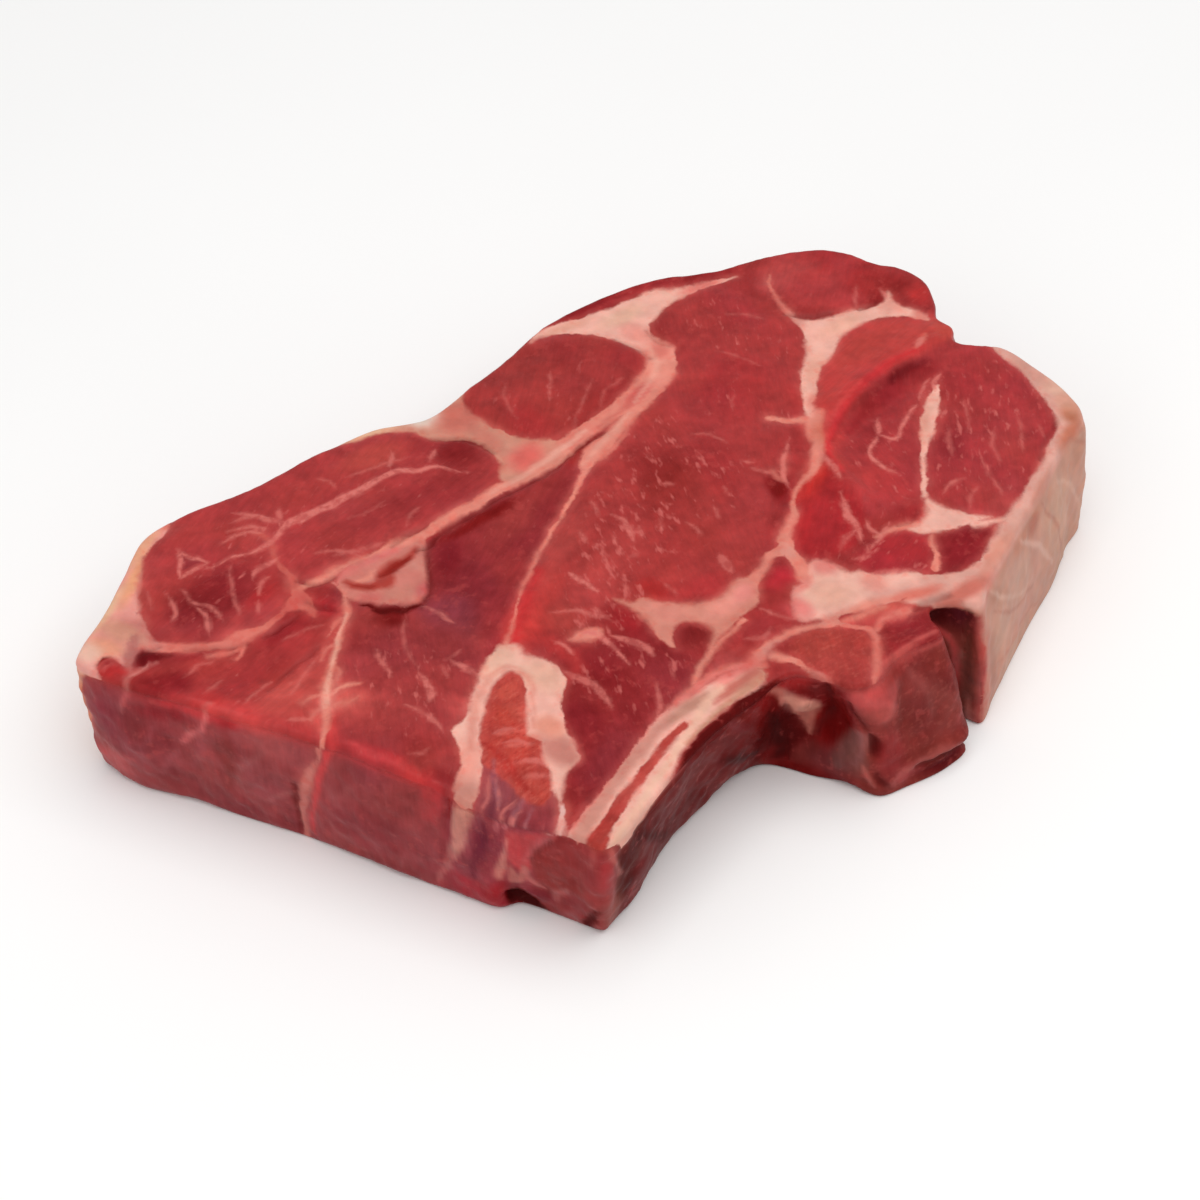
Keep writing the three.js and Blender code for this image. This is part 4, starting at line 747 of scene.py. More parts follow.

# Smaller blooms, painted highlights and sheen, and painted shadows: x, y, half length, half width,
# turn, colour, strength.
TOP_TONES = [
    (6, -20, 10, 8, 40, (176, 62, 58), 0.5), (-110, 54, 15, 9, 10, DEEP, 0.9),
    (-118, 52, 7, 8, 0, (136, 46, 50), 0.6), (-98, 46, 7, 4, 20, BLOOM, 0.55),
    (-122, 72, 9, 4, 45, (190, 74, 74), 0.7), (-62, 50, 34, 8, 0, (164, 58, 58), 0.8),
    (-17, 60, 8, 9, 0, (140, 44, 45), 0.9), (-24, 70, 7, 5, -30, (160, 48, 50), 0.6),
    (-34, 49, 16, 7, 0, (158, 52, 54), 0.7), (-40, 74, 12, 5, -8, (190, 78, 70), 0.7),
    (-84, 68, 8, 8, 30, (200, 78, 76), 0.6), (-80, 50, 8, 8, 0, (182, 66, 66), 0.7),
    (-72, 82, 20, 4, -3, (176, 62, 62), 0.6), (-60, 60, 9, 4, 0, (190, 76, 74), 0.4),
    (-100, 80, 12, 5, 0, (184, 66, 64), 0.6), (8, 56, 8, 6, 60, (184, 56, 56), 0.7),
    (34, 76, 14, 6, -20, (152, 50, 50), 0.7), (20, 78, 14, 5, 5, (158, 60, 58), 0.6),
    (30, 50, 16, 4, 8, (160, 50, 50), 0.6), (50, 62, 5, 9, 10, (164, 52, 54), 0.6),
    (12, 70, 7, 7, 0, (176, 62, 60), 0.5), (-50, 12, 14, 11, 40, (138, 48, 54), 0.9),
    (-62, 4, 7, 10, -10, (146, 64, 72), 0.8), (-20, 27, 16, 6, 22, (166, 62, 60), 0.8),
    (0, 32, 12, 4, 12, (156, 54, 54), 0.6), (-36, 8, 10, 4, 38, (162, 56, 54), 0.5),
    (-46, 26, 9, 4, 40, (132, 40, 46), 0.8), (-30, 33, 16, 2.5, 0, (124, 32, 32), 0.8),
    (14, 36.5, 9, 2, 12, (150, 32, 30), 0.8), (-45, -11, 11, 6, 42, (212, 60, 60), 1.0),
    (-38, -7, 16, 6, 36, (206, 72, 68), 0.7), (-16, 8, 14, 5, 30, (188, 76, 72), 0.7),
    (-6, -6, 14, 7, 30, (182, 72, 70), 0.4), (-46, -30, 4, 9, 10, (196, 62, 60), 0.8),
    (-36, -20, 8, 7, 20, (186, 74, 68), 0.6), (-24, -30, 4, 7, -10, (168, 40, 46), 0.7),
    (25, 12, 17, 10, 55, (148, 48, 47), 0.8), (40, 4, 14, 7, 60, (160, 50, 51), 0.6),
    (12, -10, 16, 8, 50, (164, 56, 56), 0.5), (50, -14, 6, 4, 50, (124, 24, 26), 0.9),
    (62, -6, 6, 7, 40, (176, 58, 58), 0.5), (38, 28, 14, 5, 20, (168, 60, 60), 0.5),
    (70, 30, 16, 12, 45, (168, 50, 54), 0.6), (82, 60, 14, 10, 0, (166, 58, 58), 0.7),
    (82, 14, 5, 8, -30, (186, 58, 58), 0.6), (96, 60, 7, 11, 0, (178, 60, 62), 0.6),
    (66, 46, 6, 9, -30, (176, 62, 62), 0.6), (92, 38, 9, 7, 30, (180, 62, 62), 0.5),
    (5, -33, 12, 4, -15, (190, 58, 60), 0.7), (-9, -25, 4, 5, 0, (174, 44, 44), 0.7),
    (20, -30, 12, 4, 25, (172, 62, 60), 0.5), (-13, -47, 6, 6, 20, (134, 44, 46), 0.9),
    (-28, -54, 9, 7, 40, (156, 56, 60), 0.7), (-57, -52, 5, 8, 20, (136, 42, 46), 0.8),
    (-60, -66, 12, 4, 25, (142, 52, 56), 0.8), (-40, -44, 5, 9, 0, (144, 42, 46), 0.7),
    (0, -56, 12, 3, 5, (166, 56, 58), 0.8), (24, -45, 7, 4, 10, (196, 50, 60), 0.9),
    (16, -58, 4, 5, 0, (214, 84, 86), 0.7), (-14, -61, 8, 2, 5, (190, 80, 78), 0.7),
    (58, -20, 10, 3.5, 30, (206, 54, 50), 0.9), (44, -29, 8, 3, 45, (190, 48, 50), 0.6),
    (48, -38, 8, 5, 20, (160, 44, 48), 0.6), (56, -60, 8, 5, 0, (178, 50, 56), 0.6),
    (76, -68, 10, 4, 15, (140, 38, 44), 0.7), (98, -61, 12, 3, 24, (192, 78, 78), 0.6),
    (96, -10, 16, 4, 22, (160, 50, 54), 0.8), (108, -22, 12, 7, 30, (184, 70, 70), 0.5),
    (84, -27, 6, 6, 0, (180, 62, 62), 0.6), (104, -34, 14, 5, 45, (152, 50, 54), 0.7),
    (120, -44, 13, 6, 35, (182, 68, 68), 0.6), (138, -22, 7, 14, 0, (172, 58, 60), 0.6),
    (96, -54, 8, 5, 10, (178, 66, 66), 0.6), (74, -34, 7, 8, 0, (186, 62, 62), 0.7),
    (70, -22, 4, 10, 0, (190, 66, 64), 0.5), (72, -48, 6, 3, 0, (160, 44, 48), 0.7),
    (126, -14, 12, 6, 20, (164, 52, 54), 0.6), (70, -16, 9, 3, 60, (206, 68, 64), 0.8),
    (90, 0, 20, 8, 20, (196, 62, 62), 0.5), (67, -32, 4, 10, 0, (198, 68, 68), 0.7),
    (110, 18, 16, 5, 10, (184, 70, 64), 0.7), (130, 16, 9, 6, -20, (194, 74, 68), 0.6),
    (76, -6, 4, 6, 40, (200, 66, 62), 0.7), (90, 9, 10, 3, 38, (196, 66, 64), 0.6),
    (118, 62, 10, 6, 20, (192, 78, 76), 0.8), (140, 44, 9, 8, 60, (164, 48, 48), 0.8),
    (132, 34, 6, 3, 0, (140, 38, 40), 0.8), (146, 26, 4, 6, -20, (196, 56, 56), 0.8),
    (144, 36, 6, 5, 40, (146, 44, 44), 0.6), (126, 50, 10, 7, 10, (178, 62, 64), 0.6),
    (138, 60, 7, 6, 20, (160, 46, 48), 0.6), (140, 8, 4, 6, 0, (202, 82, 74), 0.7),
    (56, 90, 14, 2, 0, (138, 38, 42), 0.7), (94, 80, 9, 3, -30, (156, 48, 50), 0.6),
    (-140, 35, 8, 6, -20, (140, 40, 44), 0.9), (-124, 39, 10, 3, -20, (150, 42, 46), 0.7),
    (-138, 46, 5, 3, -10, (118, 34, 38), 0.9), (-136, 19, 7, 5, 60, (204, 60, 58), 0.8),
    (-122, 22, 18, 3, 5, (166, 54, 56), 0.6), (-118, 8, 10, 6, 20, (206, 84, 78), 0.8),
    (-130, 10, 5, 8, 35, (208, 74, 72), 0.7), (-102, 30, 10, 4, 0, (150, 40, 44), 0.7),
    (-104, 22, 12, 3, 12, (176, 58, 58), 0.6), (-116, -6, 5, 4, -40, (214, 84, 80), 0.8),
    (-112, 8, 14, 8, 30, (204, 82, 78), 0.6), (-126, 26, 12, 3, 0, (180, 60, 62), 0.5),
    (-88, 31, 3, 5, 30, (178, 44, 50), 0.8), (-110, 12, 10, 3, 15, (212, 94, 88), 0.5),
    (-132, 42, 6, 3, -20, (176, 62, 64), 0.4), (-95, 4, 8, 5, 45, (178, 68, 70), 0.7),
    (-104, -4, 10, 7, -40, (208, 88, 84), 0.9), (-22, -12, 12, 7, 30, (190, 74, 72), 0.6),
    (-80, 4, 9, 9, 0, (152, 58, 60), 0.7), (-70, -6, 7, 10, 0, (148, 56, 60), 0.8),
    (-82, -26, 5, 6, 40, (200, 82, 78), 0.8), (-98, -30, 7, 10, -20, (164, 56, 54), 0.7),
    (-94, -16, 6, 8, 0, (168, 66, 64), 0.5), (-109, -28, 3, 12, 20, (196, 58, 60), 0.8),
    (-105, -42, 3, 7, 15, (206, 62, 62), 0.9), (-100, -44, 3, 5, 30, (150, 40, 42), 0.6),
    (-86, 14, 6, 4, 40, (150, 52, 54), 0.6), (-75, 16, 5, 4, -40, (124, 36, 36), 0.8),
    (-78, -48, 7, 10, 40, (206, 70, 58), 0.8), (-66, -28, 5, 3, 0, (216, 104, 88), 0.8),
    (-75, -36, 5, 5, 40, (196, 66, 52), 0.7), (-84, -62, 6, 6, 20, (196, 84, 74), 0.7),
    (-92, -60, 6, 8, -60, (150, 70, 76), 0.8), (-70, -36, 3, 5, -20, (214, 110, 98), 0.6),
    (-58, -79, 24, 1.4, 17, (190, 54, 56), 0.6), (15, -72, 8, 5, -20, (176, 72, 64), 0.8),
    (18, -84, 8, 6, -20, (186, 72, 70), 0.8), (12, -78, 4, 6, 0, (184, 84, 78), 0.5),
    (38, -82, 7, 3, 10, (168, 52, 54), 0.7), (30, -86, 4, 4, 0, (196, 60, 64), 0.6),
]

# ------------------------------------------------------- what shows on the walls

# The same kinds of features in (along, height).
WALL_FAT_BANDS = [
    ((206, 118, 108), [(79.6, 47, 3), (78.8, 41, 1.4), (77.6, 36, 1), (75.4, 31, 3.2), (73.4, 24, 3.6),
        (72.2, 17, 2.4), (71.4, 9, 2), (71.2, 0, 2)]),
    # Rim of the sawn rib, seen from the side.
    (CREAM, [(171, 46, 5), (176, 44, 9), (184, 45, 8.4), (191, 46, 6), (200, 47, 5), (212, 47, 4.4),
        (224, 46.4, 3.4), (232, 47, 2)]),
    (SALMON, [(256, 47, 4), (261, 45.6, 3.6), (265, 44, 2.4)]),
    # Fat round the left tip.
    (ORANGE, [(-1.6, 47, 7), (-1.4, 38, 5), (-0.6, 30, 4.4), (0, 24, 3.6), (0.6, 17, 1)]),
]
WALL_FAT_PATCHES = [
    (SIDE_FAT, [(345, -4), (333, -4), (332, -2), (332, 20), (332, 48), (333, 50), (345, 50), (372, 50),
        (400, 50), (428, 50), (456, 49), (470, 48), (469, 38), (467, 24), (468, 10), (466, -4),
        (430, -4), (385, -4)]),
    (PALE_ROSE, [(148.6, 48), (148.8, 43), (149.4, 41), (151, 41.6), (153.2, 43.4), (153.8, 48)]),
    (ORANGE, [(804, 50), (806, 38), (809, 22), (806, 8), (809, -4), (830, -4), (852, -4), (862, -2),
        (864, 12), (864, 30), (865.6, 50)]),
]
WALL_HOLES = [
    (SPONGY_RED, 0.0, [(-0.4, 8), (2.6, 12), (1.6, 4), (-2, 0)]),
]
WALL_VEINS = [
    (0.45, [(487, 47, 2), (486, 30, 1.4), (488, 8, 0.8)]),
    (0.55, [(508, 40, 1), (512, 26, 1.4), (509, 8, 0.8)]),
    (0.45, [(560, 40, 0.8), (572, 30, 1.4), (590, 26, 0.8)]),
    (0.45, [(620, 34, 0.8), (634, 22, 1.4), (652, 20, 0.8)]),
    (0.45, [(664, 40, 0.8), (674, 24, 1.2), (670, 8, 0.7)]),
    (0.45, [(736, 42, 0.8), (748, 27, 1.3), (766, 20, 0.8)]),
    (0.4, [(770, 40, 0.8), (782, 30, 1.3), (792, 12, 0.8)]),
    (0.4, [(598, 14, 0.8), (610, 10, 1.2), (626, 12, 0.8)]),
]
# Soft streaks in the lean of the walls: colour, strength, softness, then (along, height, width).
WALL_STREAKS = [
    # The sawn end.
    ((190, 92, 92), 0.8, 1.1, [(19.5, 47, 1.4), (18.8, 42, 1.2), (17.2, 38, 0.9), (16.4, 34, 0.3)]),
    ((212, 102, 102), 0.9, 1.0, [(44, 47, 1.4), (42.8, 40, 1.2), (41.4, 35, 1.3), (37.5, 31, 1.6),
        (35, 27.5, 0.6)]),
    ((158, 74, 80), 0.6, 1.8, [(41.5, 34, 1), (40, 26, 1.6), (37.6, 17, 0.8)]),
    ((170, 84, 88), 0.5, 1.5, [(33, 24, 0.8), (29, 18, 1.4), (27, 12, 0.4)]),
    ((162, 76, 82), 0.5, 1.6, [(26, 31, 0.6), (23.4, 24, 1.4), (21, 17, 0.4)]),
    ((172, 92, 92), 0.55, 1.6, [(60, 33, 1.4), (56.6, 29, 1.8), (52.6, 24, 1), (50.6, 17, 0.6)]),
    ((178, 98, 96), 0.6, 1.4, [(69.6, 19.4, 1.2), (65, 17.6, 1.4), (61, 14, 0.5)]),
    ((168, 84, 84), 0.4, 1.6, [(90, 33, 0.6), (86, 28, 1.2), (82.6, 24, 0.5)]),
    ((172, 82, 86), 0.4, 1.6, [(106, 12, 0.6), (104, 7, 1.2), (102, 2, 0.8)]),
    ((212, 68, 70), 0.9, 1.4, [(82.4, 46, 2), (81, 40, 2), (79.4, 33, 1.8), (77.6, 24, 1.6),
        (75.6, 14, 1.2), (74.4, 4, 1)]),
    ((120, 40, 40), 0.6, 1.2, [(70.2, 26, 0.6), (70, 18, 1.2), (69.4, 8, 1.2), (69, 2, 0.6)]),
    ((136, 56, 54), 0.6, 2.0, [(49.6, 34, 1), (50, 26, 2), (48, 14, 1)]),
    # The sawn bone.
    ((204, 132, 118), 0.95, 1.3, [(126, 48, 5.8), (124.3, 41, 5.2), (122.8, 34, 4.4), (122.4, 26, 3.4),
        (120.8, 20, 2.6)]),
    ((186, 98, 94), 0.9, 1.0, [(120.8, 21, 2), (119, 15, 1.8), (117.6, 9, 1.2), (116, 4, 0.5)]),
    # Painted shade in the groove beside the pale shell.
    ((150, 24, 24), 0.6, 0.9, [(119.9, 47, 1), (119.6, 41, 1.1), (118.8, 34, 0.4)]),
    ((196, 62, 66), 0.7, 1.6, [(117, 46, 1.4), (116, 38, 2), (115.6, 30, 0.8)]),
    ((150, 78, 88), 0.6, 1.2, [(131, 47, 1), (128.6, 40, 1.6), (127, 32, 1)]),
    ((110, 48, 60), 0.7, 1.6, [(129, 36, 1), (128.6, 28, 2.6), (126.4, 18, 2), (125.6, 13, 1)]),
    ((150, 74, 80), 0.5, 1.4, [(125, 30, 0.6), (124.6, 22, 1.6), (123.6, 14, 0.8)]),
    # Painted highlights: pale pink streaks down the sawn bone.
    ((210, 118, 120), 0.75, 0.9, [(139.6, 46, 0.8), (138.4, 41, 1.6), (136.6, 37, 1)]),
    ((204, 110, 112), 0.65, 1.0, [(135.6, 47, 0.6), (134.4, 41, 1.2), (133.4, 35, 0.8)]),
    ((206, 96, 96), 0.7, 1.4, [(151, 41, 0.6), (147.6, 36, 1.8), (145.2, 31, 1.6), (143.4, 25, 1.2)]),
    ((208, 128, 116), 0.85, 1.4, [(136.8, 32, 0.6), (135.8, 26, 1.6), (134.4, 21, 3), (133, 16, 2.4)]),
    ((190, 108, 100), 0.9, 1.4, [(137.4, 20, 1), (139, 15.6, 4.6), (142, 16.4, 4), (143.6, 21, 2)]),
    ((194, 104, 100), 0.85, 0.9, [(143.6, 19.6, 1.4), (146, 15.8, 1.8), (149.2, 13, 1)]),
    ((182, 92, 90), 0.75, 1.0, [(152, 10, 0.8), (153.4, 13.4, 2.4), (156, 17.4, 1.4)]),
    ((154, 70, 72), 0.7, 1.0, [(158.6, 10, 1), (157.6, 5, 2), (158, 1, 1.4)]),
    # Painted shade in the crease near the foot.
    ((88, 18, 16), 0.9, 1.2, [(164.4, 13, 0.8), (163, 8, 2.4), (161.6, 2, 2)]),
    ((206, 108, 98), 0.7, 1.4, [(167.4, 48, 1.4), (168.6, 42, 2), (170, 35, 1.2), (171.4, 28, 0.6)]),
    ((186, 92, 84), 0.5, 1.2, [(162.4, 46, 0.8), (163.4, 40, 1.4), (163, 34, 0.6)]),
    # Below the rib.
    ((122, 50, 56), 0.5, 2.2, [(206, 43, 1), (216, 33, 2.4), (226, 24, 1)]),
    ((126, 52, 58), 0.55, 2.2, [(222, 45, 1), (232, 35, 3), (240, 26, 1)]),
    ((112, 46, 50), 0.45, 2.0, [(190, 36, 1), (199, 26, 2.4), (208, 17, 1)]),
    ((66, 22, 20), 0.6, 2.4, [(182, 34, 1), (192, 22, 3), (200, 13, 1)]),
    ((62, 22, 20), 0.6, 2.6, [(226, 24, 1), (236, 16, 3), (246, 10, 1)]),
    # Painted shadow beside the pale knob.
    ((70, 20, 20), 0.7, 2.0, [(244, 31, 1), (250, 23, 3), (254, 12, 3), (254, 5, 1.6)]),
    ((200, 118, 104), 0.9, 1.4, [(240, 47, 1.2), (245, 41, 1.8), (249.6, 36.4, 3.2), (253.6, 32.4, 6.4),
        (256, 28, 6), (257.6, 21, 2.4), (258.4, 15, 0.8)]),
    ((216, 146, 126), 0.8, 1.2, [(251.6, 34.6, 1), (255.6, 31.6, 4.4), (258, 27.4, 3)]),
    ((128, 84, 82), 0.7, 1.8, [(270, 22, 1), (268, 16, 4), (266, 9, 3)]),
    ((152, 92, 92), 0.7, 1.0, [(271.4, 24, 0.8), (272, 17, 1.4), (270.6, 11, 1)]),
    # The backbone's face.
    ((172, 84, 80), 0.85, 1.2, [(279, 3.4, 0.8), (283.6, 6.4, 1.8), (289, 9.2, 2.2), (294.4, 9.8, 2),
        (300, 7.4, 1.6), (305, 3, 1.2)]),
    ((190, 66, 66), 0.9, 1.0, [(302.6, 48, 1), (309, 41.6, 1.6), (314.4, 36.8, 1.6), (320, 33, 1.4),
        (324.2, 29.4, 1.2), (325.4, 22, 1), (325.8, 12, 0.6)]),
    ((206, 92, 88), 0.6, 1.0, [(271, 42, 0.8), (274, 38, 1.6), (279, 34.6, 1.8), (284, 31, 0.8)]),
    ((112, 44, 40), 0.5, 2.0, [(299, 36, 1), (303, 28, 2.4), (306, 18, 1)]),
    ((160, 82, 76), 0.4, 1.8, [(290, 40, 1), (294, 31, 2), (295, 22, 1)]),
    ((196, 104, 96), 0.7, 0.8, [(272.6, 12, 0.6), (274.4, 8.6, 1.4), (275.4, 4.6, 0.6)]),
    ((214, 122, 112), 0.8, 0.8, [(328.4, 10, 0.4), (328.8, 5, 1), (329, 1, 1)]),
]
# Whole areas of lean on the walls: colour, softness of the border, then the outline.
WALL_AREAS = [
    ((150, 60, 68), 2.0, [(121, 48), (148, 48), (148, 40), (144, 36), (137, 34), (134, 22), (130, 12),
        (122, 12), (122, 30)]),
    ((196, 68, 70), 1.6, [(137, 36), (143, 38), (149, 40.6), (148, 34), (145.6, 28), (144, 22),
        (140.6, 20.6), (137, 24), (136.4, 30)]),
    ((148, 52, 50), 1.0, [(151.4, 41.8), (155.6, 42.6), (160, 40), (162, 33), (161.6, 25), (159.6, 18),
        (155.6, 17.6), (151, 14), (147.6, 17), (145.4, 22), (145.6, 29), (148, 35)]),
    # Painted shade in the notch at the foot.
    ((78, 14, 10), 1.2, [(135, 8.6), (138.6, 9.4), (142, 8), (147, 5), (151, 2), (143, 1), (136, 2.6),
        (134.4, 5)]),
    # Dark brown under the start of the rib, partly painted shade under its overhang.
    ((92, 38, 30), 2.4, [(171, 38), (176, 37), (184, 38), (182, 26), (178, 14), (174, 14)]),
]
# Creases in the walls, sunk in and darkened with painted shade: depth share, then (along, height,
# width).
WALL_CREASES = [
    (0.4, [(70.2, 24, 1.2), (69.6, 14, 1.4), (69.4, 5, 1)]),
    (1.0, [(134.6, 8, 1.4), (138, 5.6, 4), (143, 4.4, 2.6), (147, 3, 1.4)]),
    (0.5, [(145, 27, 1), (147, 32, 1), (150, 37.6, 1.2)]),
    (0.6, [(163.4, 13, 1), (162.4, 7, 2), (161, 1, 1.6)]),
    (0.9, [(252, 30, 1.6), (254, 22, 2.6), (256.4, 14, 3), (254.6, 7, 1.6)]),
    (0.9, [(261, 41, 1.6), (262, 30, 2), (261.4, 22, 2.4), (260, 15, 1.6)]),
    (0.7, [(268, 36, 1.4), (271, 29, 1.6), (273, 26, 1)]),
    (1.0, [(274.6, 24, 1.4), (275.6, 20.6, 3), (275, 17.4, 1.4)]),
    (0.9, [(276.6, 10, 1), (277.4, 6.6, 2), (279, 4, 1)]),
    (0.9, [(288, 7, 1.6), (294, 7.6, 2), (300, 5.6, 2), (304, 2.6, 1.6)]),
    (0.5, [(308, 45, 2), (314, 41, 4), (320, 38, 5)]),
    (0.8, [(474, 46, 1.6), (474, 26, 2), (475, 6, 1.6)]),
    (0.6, [(532, 42, 1), (533, 24, 1.8), (531, 6, 1.2)]),
    (0.7, [(690, 40, 1), (689, 22, 1.6), (692, 6, 1.2)]),
    (0.7, [(717, 40, 1), (716, 22, 1.6), (718, 6, 1.2)]),
]

# Whole stretches of wall: from, to (along), colour.
WALL_BASES = [
    (-14, ALONG_BONE, (156, 66, 68)),
    (ALONG_BONE, ALONG_CORNER, (148, 60, 66)),
    (ALONG_CORNER, ALONG_RIB, (146, 54, 54)),
    # Under the rib a dark membrane, darkened further with painted shade under the rib's overhang.
    (ALONG_RIB, 252, (114, 37, 34)),
    # The hollow before the backbone, darkened with painted shade.
    (252, ALONG_BACKBONE, (120, 30, 32)),
    (ALONG_BACKBONE, 304, (136, 56, 52)),
    (304, ALONG_SLOT, (124, 52, 48)),
    # The slot between backbone and fat, darkened with painted shade.
    (ALONG_SLOT, ALONG_FAT, (96, 40, 38)),
    (ALONG_FAT, ALONG_RIGHT_END, (176, 70, 66)),
    (ALONG_RIGHT_END, 500, (176, 58, 58)),
    (500, ALONG_BACK, (160, 52, 54)),
    (ALONG_BACK, 660, (152, 50, 52)),
    (660, 730, (164, 58, 60)),
    (730, ALONG_TIP_FAT, (158, 56, 58)),
    (ALONG_TIP_FAT, 850, (178, 84, 76)),
]
WALL_TONES = [
    (12, 30, 9, 12, 0, (140, 56, 66), 0.7), (8, 8, 8, 7, 30, (190, 84, 84), 0.8),
    # Painted highlight along the sawn end's rim: the bright red band at (38, 43).
    (24, 30, 9, 9, 0, (136, 54, 58), 0.7), (38, 43, 14, 3.6, 0, (206, 60, 64), 0.95),
    (30, 38, 9, 2.5, 0, (150, 44, 50), 0.8), (50, 43, 4, 4, 0, (176, 36, 42), 0.8),
    (62, 44, 10, 3, 0, (208, 88, 86), 0.8), (64, 38, 10, 5, 0, (176, 84, 84), 0.6),
    (36, 10, 12, 6, 0, (138, 60, 62), 0.6), (50, 28, 4, 8, 10, (132, 52, 50), 0.7),
    (60, 22, 9, 8, 0, (156, 74, 78), 0.6), (56, 5, 14, 4, 0, (140, 58, 62), 0.6),
    # Painted highlight along the sawn end's rim: (98, 45) and (84, 46).
    (98, 45, 22, 2.2, 0, (198, 62, 62), 0.75), (84, 46, 8, 2.2, 0, (210, 84, 80), 0.7),
    (96, 18, 14, 9, 0, (144, 56, 60), 0.7), (106, 34, 9, 9, 0, (150, 60, 58), 0.6),
    (94, 4, 16, 3, 0, (138, 54, 54), 0.6), (114, 38, 2.6, 9, 0, (188, 62, 64), 0.7),
    (112, 12, 7, 9, 10, (148, 60, 64), 0.6), (131, 38, 2.4, 7, -6, (134, 58, 70), 0.7),
    (142, 43, 6, 4, 30, (172, 84, 90), 0.7), (140, 28.6, 3.6, 5, 0, (214, 72, 76), 1.0),
    (123, 8, 3.6, 7, 0, (170, 50, 58), 0.8), (131, 8, 4.6, 6, 0, (160, 38, 44), 0.95),
    (131, 3, 4, 4, 0, (164, 40, 50), 0.8), (147, 8, 5, 3.4, 0, (124, 46, 54), 0.8),
    (163, 30, 3, 12, 0, (152, 50, 50), 0.7), (166.6, 32, 2, 6, 0, (190, 54, 56), 0.8),
    (158, 12, 4, 6, 0, (150, 48, 54), 0.6), (157.6, 4, 2.4, 4, 0, (170, 82, 84), 0.7),
    (170, 10, 4, 9, 0, (152, 70, 58), 0.7), (167, 16, 3, 6, 0, (146, 60, 56), 0.6),
    (173, 24, 3, 14, 0, (126, 62, 58), 0.7), (155, 46, 3, 2.6, 0, (180, 48, 50), 0.7),
    (190, 30, 12, 8, -30, (96, 34, 30), 0.5), (206, 12, 18, 7, 0, (94, 32, 30), 0.5),
    (240, 38, 5, 5, -40, (132, 26, 28), 0.9), (252, 41, 6, 4, 0, (176, 28, 32), 0.95),
    # Painted shadow beside the pale knob at (248, 20); painted shade in the hollow under the rim at
    # (264, 32).
    (248, 20, 6, 12, 0, (88, 28, 30), 0.8), (264, 32, 4, 9, 0, (126, 28, 32), 0.9),
    (260.6, 18, 1.4, 5, 0, (150, 20, 22), 0.9), (259, 8, 4, 6, 0, (126, 60, 60), 0.7),
    # Painted shade in the small hole at (276, 20).
    (276, 20, 2.2, 3, 0, PAINTED_HOLE_SHADE, 0.9), (274, 41, 6, 6, -30, (206, 84, 82), 0.95),
    (281, 38, 4, 5, -40, (188, 76, 74), 0.8), (278, 32, 6, 3.4, -20, (190, 84, 78), 0.9),
    (269, 13, 4, 8, -12, (132, 78, 74), 0.9), (272, 21, 3, 4, -20, (164, 92, 88), 0.9),
    (264, 8, 4, 6, 0, (122, 58, 62), 0.8), (280, 16, 5, 9, 0, (150, 50, 52), 0.8),
    (286, 42, 6, 3, 0, (150, 56, 52), 0.6), (300, 24, 6, 8, 20, (150, 74, 66), 0.6),
    (294, 42, 8, 3, 0, (140, 52, 50), 0.6), (306, 42, 4, 3, -40, (128, 46, 46), 0.6),
    (292, 24, 5, 9, 0, (128, 56, 54), 0.6), (286, 6, 5, 3, 20, (172, 66, 66), 0.7),
    # Painted shade at the top of the slot between backbone and fat: (316, 40) here and (325, 40) below.
    (295, 4, 8, 3, 0, (104, 38, 42), 0.95), (316, 40, 8, 6, -30, (92, 38, 40), 1.0),
    (316, 35.6, 4, 1.4, -40, (180, 52, 54), 0.8), (325, 40, 4, 7, 0, (88, 40, 42), 1.0),
    (312, 8, 10, 7, 0, (128, 60, 58), 0.5), (327.8, 18, 2.6, 16, 0, (150, 84, 76), 0.95),
    (326, 47, 5, 2.2, 0, (206, 80, 62), 0.9), (474, 24, 5, 26, 0, (150, 46, 48), 0.8),
    (496, 30, 10, 10, 0, (196, 80, 72), 0.6), (520, 30, 12, 12, 0, (168, 54, 54), 0.5),
    (560, 16, 20, 8, 0, (164, 60, 62), 0.5), (600, 34, 22, 7, 0, (140, 42, 46), 0.6),
    (640, 14, 20, 8, 0, (168, 64, 64), 0.5), (680, 34, 18, 7, 0, (172, 62, 62), 0.5),
    (746, 14, 20, 8, 0, (150, 50, 52), 0.6), (780, 34, 16, 7, 0, (174, 64, 64), 0.5),
]
